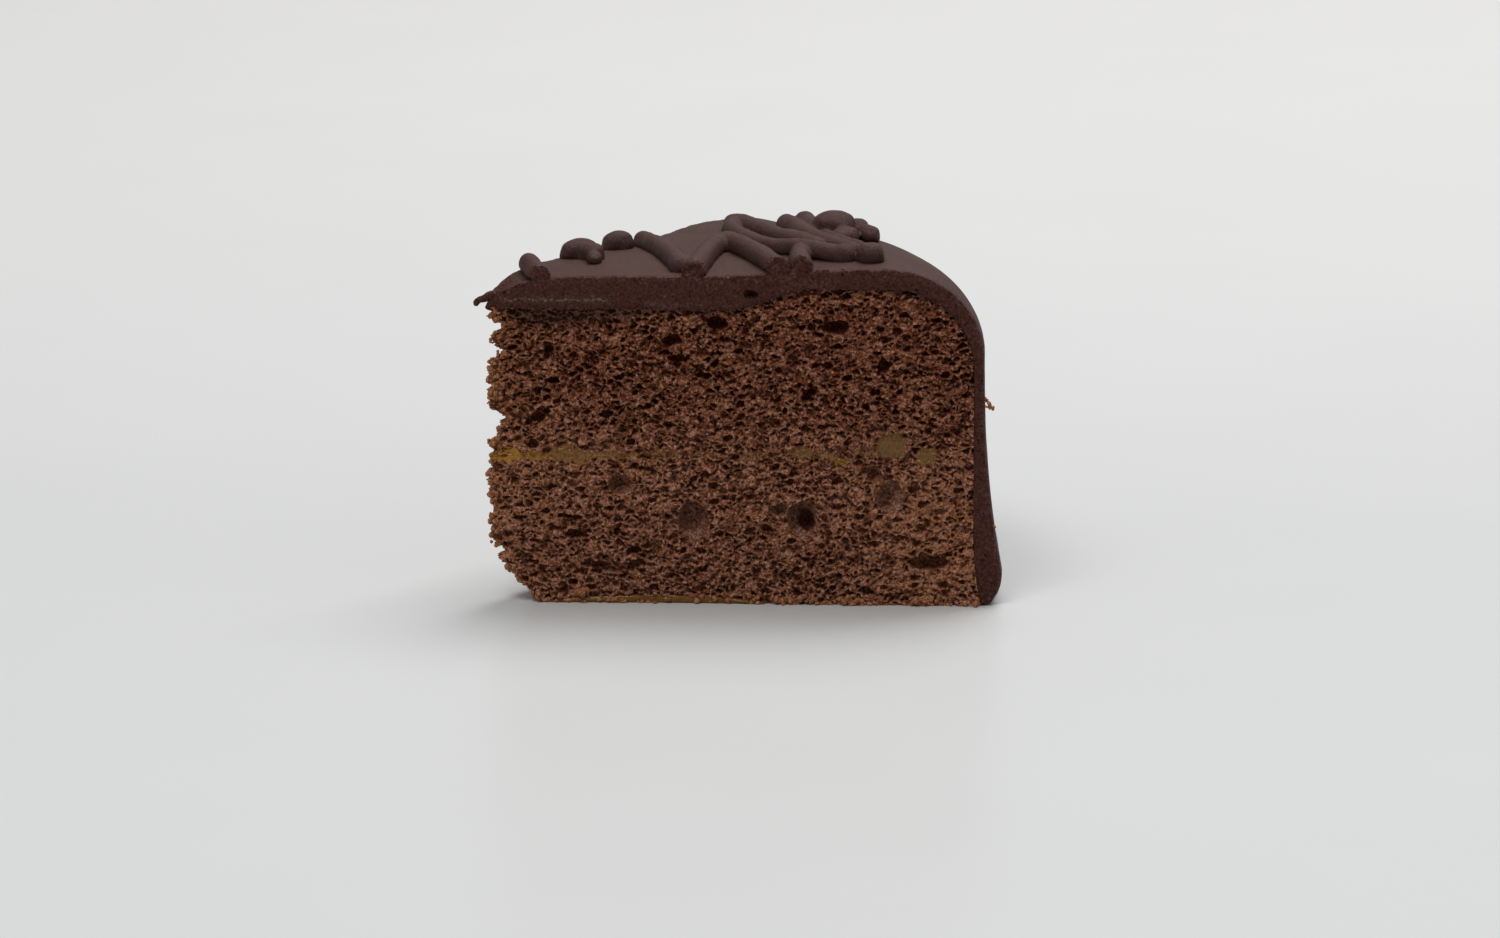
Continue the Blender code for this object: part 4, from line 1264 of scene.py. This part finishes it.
@dataclass(frozen=True)
class PipedString:
    """A string of piped chocolate, which ends at the near cut where it reaches it."""

    plan: tuple[tuple[float, ...], ...]  # points from the axis in millimetres, with an optional lift
    share: float  # of the usual radius
    skirt: float = 0.18  # how much its foot spreads on the icing
    squash: float = 1.0  # height over width
    usual: float = 1.8 * MM
    sink: float = 0.42
    sides: int = 28

    def path(self, torte: Torte, step: float = 0.35 * MM) -> Array:
        """Evenly spaced centre points: a Catmull-Rom curve through the plan, laid over the icing."""
        points = np.array([(x, y, lift[0] if lift else 0.0) for x, y, *lift in self.plan]) * MM
        points = np.vstack([2 * points[0] - points[1], points, 2 * points[-1] - points[-2]])
        t = np.linspace(0, 1, 40, endpoint=False)[:, None]
        runs = [
            0.5 * (2 * b + (c - a) * t + (2 * a - 5 * b + 4 * c - d) * t**2 + (3 * b - a - 3 * c + d) * t**3)
            for a, b, c, d in zip(points, points[1:], points[2:], points[3:])
        ]
        fine = np.vstack([*runs, points[-2:-1]])
        reach = 0.95 * self.usual * self.share
        tails = [fine[i] + (fine[i] - fine[j]) / np.linalg.norm(fine[i] - fine[j]) * reach for i, j in ((0, 1), (-1, -2))]
        fine = np.vstack([tails[0], fine, tails[1]])
        length = np.concatenate([[0], np.cumsum(np.linalg.norm(np.diff(fine, axis=0), axis=1))])
        at = np.linspace(0, length[-1], max(8, int(length[-1] / step)))
        plan = np.stack([np.interp(at, length, fine[:, i]) for i in range(3)], axis=1)
        lifted = plan[:, 2] + self.usual * self.share * self.sink * self.squash
        return np.stack([plan[:, 0], plan[:, 1], torte.surface(plan[:, 0], plan[:, 1]) + lifted], axis=1)

    def build(self, torte: Torte, seed: int) -> tuple[Array, Array]:
        """The string's closed tube as vertices and triangles.

        Each ring is a circle about the path whose lower half spreads by the skirt. The radius swells
        and shrinks with noise along the path and rounds off at the ends, and rings past the near cut
        slide back along the string onto the cut's plane.

        Args:
            torte: gives the icing's surface.
            seed: names the noise.

        Returns:
            Vertices, shape (n, 3), about the axis, and triangles, shape (m, 3).
        """
        path = self.path(torte)
        along = np.gradient(path, axis=0)
        along /= np.linalg.norm(along, axis=1, keepdims=True)
        side = np.cross(along, [0.0, 0.0, 1.0])
        side /= np.linalg.norm(side, axis=1, keepdims=True)
        up = np.cross(side, along)
        radius = self.usual * self.share
        travel = np.arange(len(path)) / (len(path) - 1) * np.linalg.norm(np.diff(path, axis=0), axis=1).sum()
        nearest_end = np.minimum(travel, travel[-1] - travel)
        bend = 1 - np.clip(1 - nearest_end / radius, 0, 1) ** 2
        rounding = np.sqrt(np.maximum(bend, 0.02))
        swell = 1 + 0.09 * waves(path, 3.5 * MM, seed) + 0.05 * waves(path, 1.2 * MM, seed + 1)
        angle = np.linspace(0, 2 * math.pi, self.sides, endpoint=False)
        low = smoothstep(-0.35, 0.75, -np.sin(angle))
        across = np.cos(angle) * (1 + self.skirt * low)
        rise = np.sin(angle) * self.squash
        size = (radius * rounding * swell)[:, None, None]
        rings = path[:, None] + size * (side[:, None] * across[None, :, None] + up[:, None] * rise[None, :, None])
        past = np.minimum(rings[..., 1] - torte.near_cut(rings), 0.0)
        slope = np.where(np.abs(along[:, 1]) > 0.25, along[:, 1], 1e9)[:, None]
        rings = rings - along[:, None] * (past / slope)[..., None]
        return close_tube(rings)


@dataclass(frozen=True)
class PipedDrop:
    """A drop of chocolate: an ellipsoid on the icing, dented where others touched it."""

    middle: tuple[float, float]
    half: tuple[float, float, float]
    turn: float = 0.0
    lift: float = 0.0
    crater: tuple[float, float] = (0.0, 0.0)  # depth and radius as shares of its size, on top
    lumps: float = 0.10
    sink: float = 0.42

    def build(self, torte: Torte, seed: int) -> tuple[Array, Array]:
        """The drop's closed mesh: a sphere's grid scaled, lumped by noise and hollowed on top."""
        polar = np.linspace(0.05, math.pi - 0.05, 30)[:, None]
        around = np.linspace(0, 2 * math.pi, 44, endpoint=False)[None]
        ball = np.stack(
            [np.sin(polar) * np.cos(around), np.sin(polar) * np.sin(around), np.cos(polar) + 0 * around], -1
        )
        lump = 1 + self.lumps * waves(ball + seed, 0.9, seed, 2)
        deep, wide = self.crater
        hollow = deep * np.exp(-((np.hypot(ball[..., 0], ball[..., 1]) / max(wide, 0.01)) ** 2)) * (ball[..., 2] > 0)
        ball = ball * lump[..., None]
        ball[..., 2] -= hollow
        spread = 1 + 0.16 * smoothstep(-0.1, 0.7, -ball[..., 2])
        half = np.array(self.half) * MM
        local = ball * half
        turn = math.radians(self.turn)
        x = (local[..., 0] * math.cos(turn) - local[..., 1] * math.sin(turn)) * spread + self.middle[0] * MM
        y = (local[..., 0] * math.sin(turn) + local[..., 1] * math.cos(turn)) * spread + self.middle[1] * MM
        base = torte.surface(np.array([self.middle[0] * MM]), np.array([self.middle[1] * MM]))[0]
        z = local[..., 2] + base + half[2] * self.sink + self.lift * MM
        return close_tube(np.stack([x, y, z], -1))


def close_tube(rings: Array) -> tuple[Array, Array]:
    """Rings of points, shape (n, sides, 3), as a tube closed by a fan at each end."""
    n, sides = rings.shape[:2]
    index = np.arange(n * sides).reshape(n, sides)
    p, q = index[:-1], index[1:]
    r, s = np.roll(q, -1, axis=1), np.roll(p, -1, axis=1)
    faces = [np.stack([p, q, r], -1).reshape(-1, 3), np.stack([p, r, s], -1).reshape(-1, 3)]
    ends = np.array([rings[0].mean(axis=0), rings[-1].mean(axis=0)])
    first = np.stack([np.full(sides, n * sides), index[0], np.roll(index[0], -1)], -1)
    last = np.stack([np.full(sides, n * sides + 1), np.roll(index[-1], -1), index[-1]], -1)
    return np.vstack([rings.reshape(-1, 3), ends]), np.vstack([*faces, first, last])


@dataclass
class Piping:
    """One joined piece of piping, which melts together where its strings and drops touch."""

    node: str
    shapes: tuple[PipedString | PipedDrop, ...]
    voxel: float = 0.17 * MM
    melt: int = 26

    def build(self, torte: Torte, material: bpy.types.Material) -> bpy.types.Object:
        """Fuses the shapes on a fine lattice of voxels, smooths the joints and roughens the ends.

        Args:
            torte: gives the icing's surface and the near cut.
            material: the chocolate.

        Returns:
            The piece, with cut 1 on the ends at the near cut.
        """
        points, faces, count = [], [], 0
        for i, shape in enumerate(self.shapes):
            vertices, triangles = shape.build(torte, 100 + 7 * i)
            points.append(vertices)
            faces.append(triangles + count)
            count += len(vertices)
        mesh = bpy.data.meshes.new(f"{self.node}_fused")
        around = np.vstack(points) + np.array([*torte.shift, 0.0])
        mesh.from_pydata(around.tolist(), [], np.vstack(faces).tolist())
        bm = bmesh.new()
        bm.from_mesh(mesh)
        bmesh.ops.recalc_face_normals(bm, faces=bm.faces)
        bm.to_mesh(mesh)
        bm.free()
        rough = bpy.data.objects.new(f"{self.node}_rough", mesh)
        bpy.context.scene.collection.objects.link(rough)
        fuse = rough.modifiers.new("fuse", "REMESH")
        fuse.mode, fuse.voxel_size = "VOXEL", self.voxel
        soften = rough.modifiers.new("soften", "SMOOTH")
        soften.factor, soften.iterations = 0.5, self.melt
        bpy.context.view_layer.update()
        fused = bpy.data.meshes.new_from_object(rough.evaluated_get(bpy.context.evaluated_depsgraph_get()))
        bpy.data.objects.remove(rough)
        fused.name = self.node + "_piece"
        self.weather(fused, torte)
        fused.materials.clear()
        fused.materials.append(material)
        fused.shade_smooth()
        obj = bpy.data.objects.new(self.node + "_chocolate", fused)
        bpy.context.scene.collection.objects.link(obj)
        return obj

    def weather(self, mesh: bpy.types.Mesh, torte: Torte) -> None:
        """Moves the vertices along their normals by fine noise, and more on the broken ends."""
        count = len(mesh.vertices)
        points, normals = np.empty(count * 3, np.float32), np.empty(count * 3, np.float32)
        mesh.vertices.foreach_get("co", points)
        mesh.vertex_normals.foreach_get("vector", normals)
        points, normals = points.reshape(-1, 3).astype(float), normals.reshape(-1, 3).astype(float)
        local = points - np.array([*torte.shift, 0.0])
        behind = local[:, 1] - torte.near_cut(local)
        wander = waves(points, 1.2 * MM, 83, 2) * 0.5 * MM
        cut = 1 - smoothstep(0.4 * MM, 1.6 * MM, behind + wander)
        fine = waves(points, 0.9 * MM, 81, 3) * 0.05 * MM
        torn = (waves(points, 0.6 * MM, 82, 3) * 0.36 - 0.12) * MM * cut
        moved = points + normals * (fine + torn)[:, None]
        mesh.vertices.foreach_set("co", moved.astype(np.float32).ravel())
        # Painted glints on the broken ends.
        end_glints = cut * smoothstep(-0.2, 0.5, waves(points, 1.3 * MM, 68, 2)) * 0.8
        for name, value in (("cut", cut), ("streak", end_glints)):
            layer = mesh.attributes.new(name, "FLOAT", "POINT")
            layer.data.foreach_set("value", value.astype(np.float32))
        mesh.update()


PIPED = (
    Piping("piped_drop_tip", (PipedString(((7.1, 6.4, 0.3), (8.3, 3.2, 0.2), (9.3, 0.0), (10.0, -3.0)), 0.90),)),
    Piping(
        "piped_drop_middle",
        (
            PipedDrop((14.7, 14.4), (3.1, 2.4, 2.05), 4, lumps=0.17),
            PipedDrop((17.0, 12.6), (1.9, 2.0, 1.75), lumps=0.12),
            PipedDrop((17.3, 9.8), (1.25, 1.7, 1.25), lumps=0.15),
        ),
    ),
    Piping("piped_drop_far", (PipedDrop((20.3, 23.2), (2.6, 2.1, 2.0), 20, lumps=0.16),)),
    Piping(
        "piped_arch",
        (
            PipedString(
                ((24.2, 26.8), (25.3, 24.4), (27.0, 19.7), (28.9, 13.6), (30.6, 7.6), (31.6, 4.2)),
                0.92,
            ),
            PipedString(
                (
                    (33.4, -3.0),
                    (33.8, 2.5),
                    (34.6, 9.0),
                    (35.5, 14.8, 0.1),
                    (36.5, 18.5, 0.2),
                    (37.9, 20.1, 0.3),
                    (39.4, 19.0, 0.2),
                    (40.9, 16.2, 0.1),
                    (42.5, 12.6),
                    (44.6, 7.4),
                    (47.1, 0.0),
                    (48.1, -3.0),
                ),
                1.0,
            ),
        ),
    ),
    Piping(
        "piped_scroll",
        (
            PipedString(((38.3, 36.6), (40.0, 36.0), (43.0, 30.4), (46.5, 23.6), (49.8, 18.4), (52.6, 13.6)), 0.96),
            PipedString(
                (
                    (38.6, 36.6),
                    (38.3, 32.4),
                    (40.0, 26.6),
                    (42.9, 20.0),
                    (46.4, 15.0),
                    (50.2, 11.8, 0.4),
                    (53.4, 8.4, 0.5),
                    (56.0, 7.0, 0.2),
                    (57.6, 6.6),
                ),
                0.86,
            ),
            PipedString(
                ((47.0, 38.2, 0.2), (48.9, 31.4, 0.1), (51.0, 24.0), (53.6, 17.6), (56.4, 12.4), (58.6, 9.6)), 0.94
            ),
            PipedString(((50.0, 38.0, 0.55), (51.6, 31.6, 0.3), (53.0, 26.8)), 0.98),
            PipedString(((52.6, 28.0), (54.6, 22.0), (57.4, 16.6), (59.6, 12.8)), 0.74),
            PipedString(((50.2, 10.0), (50.3, 5.0), (50.8, 0.0), (51.0, -3.0)), 0.94),
            PipedDrop((57.2, 6.7), (1.9, 1.7, 1.95), 0, lumps=0.06),
            PipedDrop((57.0, 22.9), (2.1, 2.9, 1.4), -24, lift=0.6, lumps=0.14),
            PipedDrop((55.0, 28.0), (3.5, 3.2, 2.0), 5, lift=1.4, lumps=0.18),
            PipedDrop((58.8, 30.3), (1.9, 2.7, 1.7), 16, lift=0.4, lumps=0.16),
            PipedDrop((60.7, 25.8), (1.7, 2.9, 1.6), 20, lift=0.4, lumps=0.16),
            PipedDrop((61.5, 6.3), (2.25, 2.3, 2.3), 0, crater=(0.35, 0.35)),
        ),
        melt=18,
    ),
)


# ------------------------------------------------------------------ loose crumbs


@dataclass(frozen=True)
class CrumbCluster:
    """A torn-off cluster of grains: where it clings and which way it grows, in millimetres."""

    spot: tuple[float, float, float]
    way: tuple[float, float, float]
    grains: int
    size: float = 0.36


@dataclass
class LooseCrumbs:
    """Crumbs that cling to the tip, the foot and the icing: clusters of a few lumpy grains."""

    torte: Torte
    polar: int = 6
    around: int = 9
    placed: tuple[CrumbCluster, ...] = (
        CrumbCluster((79.9, 0.6, 33.7), (1.4, 0.0, -1.7), 16, 0.28),
        CrumbCluster((81.1, 0.8, 13.0), (0.2, 0.0, 0.3), 4, 0.24),
        CrumbCluster((78.8, -0.2, 0.4), (-0.4, -0.6, 0.0), 6, 0.30),
        CrumbCluster((8.2, 0.3, 1.4), (1.6, -0.2, -0.9), 22, 0.36),
        CrumbCluster((14.6, 0.2, 1.6), (1.8, -0.2, 0.4), 26, 0.42),
        CrumbCluster((19.6, 0.2, 0.6), (1.2, -0.3, 0.0), 12, 0.34),
        CrumbCluster((47.0, 0.2, 0.7), (2.2, -0.3, 0.2), 24, 0.38),
        CrumbCluster((57.5, 0.2, 0.6), (2.6, -0.3, 0.3), 28, 0.42),
        CrumbCluster((68.5, 0.2, 0.7), (2.0, -0.3, 0.2), 24, 0.42),
        CrumbCluster((2.8, 0.9, 38.6), (-1.5, 0.0, 0.5), 46, 0.32),
        CrumbCluster((2.6, 0.8, 36.4), (-1.7, 0.0, -0.3), 52, 0.33),
        CrumbCluster((2.6, 0.8, 33.6), (-1.3, 0.0, 0.3), 40, 0.33),
        CrumbCluster((3.2, 0.9, 43.2), (-1.3, 0.0, 0.2), 34, 0.30),
        CrumbCluster((3.0, 0.8, 46.2), (-1.0, 0.0, -0.2), 28, 0.29),
        CrumbCluster((2.4, 0.8, 25.6), (-1.3, 0.0, 0.1), 34, 0.31),
        CrumbCluster((2.2, 0.8, 20.6), (-1.3, 0.0, 0.3), 42, 0.33),
        CrumbCluster((2.2, 0.8, 17.4), (-1.1, 0.0, 0.1), 34, 0.33),
        CrumbCluster((2.4, 0.8, 13.0), (-1.2, 0.0, 0.0), 34, 0.31),
        CrumbCluster((4.8, 0.8, 7.2), (-1.3, 0.0, 0.3), 34, 0.31),
    )
    scattered_at_tip: int = 110
    scattered_at_foot: int = 200

    def grains(self) -> tuple[Array, Array]:
        """Centres, shape (n, 3), and radii of every grain, about the axis, from one fixed seed."""
        draw = np.random.default_rng(7)
        centres, radii = [], []
        for cluster in self.placed:
            share = np.linspace(0, 1, cluster.grains)[:, None]
            scatter = draw.normal(0, 1.3 * cluster.size, (cluster.grains, 3)) * (1 - 0.6 * share)
            centres += list(np.array(cluster.spot) + share * np.array(cluster.way) + scatter)
            radii += list(cluster.size * draw.uniform(0.7, 1.25, cluster.grains))
        z = draw.uniform(0.6, 47.0, self.scattered_at_tip)
        r = self.torte.tip_reach(z * MM) / MM + draw.normal(0.5, 0.3, len(z))
        centres += list(np.stack([r, draw.uniform(0.0, 0.9, len(z)), z], -1))
        x = 79.0 - 69.0 * draw.uniform(0.0, 1.0, self.scattered_at_foot) ** 1.6
        height = 0.1 + 1.5 * draw.uniform(0.0, 1.0, len(x)) ** 2
        centres += list(np.stack([x, draw.uniform(-0.35, 0.5, len(x)), height], -1))
        radii += list(0.14 + 0.36 * draw.uniform(0.0, 1.0, len(z) + len(x)) ** 1.5)
        return np.array(centres) * MM, np.array(radii) * MM

    def build(self, material: bpy.types.Material) -> bpy.types.Object:
        """All grains as one joined mesh, each a small closed ball shaped by noise."""
        shell = Shell("loose_crumbs")
        theta = np.linspace(0, math.pi, self.polar)[:, None]
        phi = np.linspace(0, 2 * math.pi, self.around)[None]
        ball = np.stack([np.sin(theta) * np.cos(phi), np.sin(theta) * np.sin(phi), np.cos(theta) + 0 * phi], -1)
        shift = np.array([*self.torte.shift, 0.0])
        centres, radii = self.grains()
        lump = 1 + 0.55 * waves(ball + 3.7 * np.arange(len(radii))[:, None, None, None], 0.8, 91, 2)
        points = centres[:, None, None] + shift + ball * (lump * radii[:, None, None])[..., None]
        points[:, :, -1] = points[:, :, 0]
        points[:, 0], points[:, -1] = points[:, 0].mean(1)[:, None], points[:, -1].mean(1)[:, None]
        points[..., 2] = np.maximum(points[..., 2], 0.02 * MM)
        for i, grain in enumerate(points):
            level = np.ones(grain.shape[:2])
            # Every loose grain gets the painted orange light of the crumbled tip.
            shell.grid(grain, tint=level * ((i * 0.618) % 1.0), dry=level)
        return shell.build(material)


# ------------------------------------------------------------------ studio and main


@dataclass
class Studio:
    """A pale floor that sweeps up behind, soft lights and the camera."""

    torte: Torte
    half: float = 7.0
    wall: float = 2.4
    world: float = 0.31
    lens: float = 166.04
    camera_spot: tuple[float, float, float] = (85.615 * MM, -1071.8 * MM, 265.797 * MM)
    camera_aim: tuple[float, float, float] = (42.56 * MM, 0.0, 22.09 * MM)
    lights: tuple[tuple[str, tuple[float, float, float], float, float], ...] = (
        ("overhead", (0.30, 0.45, 1.25), 0.9, 18.0),
        ("front", (-0.30, -0.60, 1.15), 0.45, 6.3),
    )

    def build(self) -> None:
        """Makes everything round the slice."""
        self.floor()
        self.light()
        self.camera()
        bpy.context.scene.view_settings.view_transform = "Standard"

    def floor(self) -> None:
        """A sheet that is flat under the slice and rises as a parabola behind it."""
        across = np.linspace(-self.half, self.half, 60)[:, None]
        depth = np.linspace(-self.half, self.half, 80)[None]
        rise = 0.35 * np.maximum(depth - self.wall, 0.0) ** 2
        shell = Shell("floor")
        shell.grid(np.stack(np.broadcast_arrays(across, depth, rise), -1))
        shell.build(FloorFinish().material())

    def light(self) -> None:
        """A dim even room and large soft lights."""
        world = bpy.data.worlds.new("soft_room")
        bpy.context.scene.world = world
        world.use_nodes = True
        world.node_tree.nodes["Background"].inputs["Color"].default_value = (1.0, 1.0, 1.0, 1.0)
        world.node_tree.nodes["Background"].inputs["Strength"].default_value = self.world
        for name, spot, wide, power in self.lights:
            light = bpy.data.lights.new(name, "AREA")
            light.size, light.energy = wide, power
            obj = bpy.data.objects.new(name, light)
            obj.location = spot
            obj.rotation_euler = (Vector((0, 0, 0.03)) - Vector(spot)).to_track_quat("-Z", "Y").to_euler()
            bpy.context.scene.collection.objects.link(obj)

    def camera(self) -> None:
        """The camera, in front of the near cut and a little above the slice."""
        camera = bpy.data.cameras.new("camera")
        camera.lens, camera.sensor_width = self.lens, 36.0
        camera.clip_start, camera.clip_end = 0.05, 50.0
        obj = bpy.data.objects.new("camera", camera)
        shift = Vector((*self.torte.shift, 0.0))
        obj.location = Vector(self.camera_spot) + shift
        aim = Vector(self.camera_aim) - Vector(self.camera_spot)
        obj.rotation_euler = aim.to_track_quat("-Z", "Y").to_euler()
        bpy.context.scene.collection.objects.link(obj)
        bpy.context.scene.camera = obj


def main() -> None:
    """Builds the slice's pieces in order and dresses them."""
    logging.basicConfig(level=logging.INFO, format="%(name)s %(message)s")
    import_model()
    torte = Torte()
    torte.settle()
    Sponge(torte).build()
    Icing(torte).build()
    chocolate = ChocolateFinish("piped_chocolate").material()
    for piping in PIPED:
        hand_over(piping.build(torte, chocolate), "piping", piping.node)
    hand_over(LooseCrumbs(torte).build(bpy.data.materials["chocolate_crumb"]), "sponge")
    Studio(torte).build()


if __name__ == "__main__":
    main()
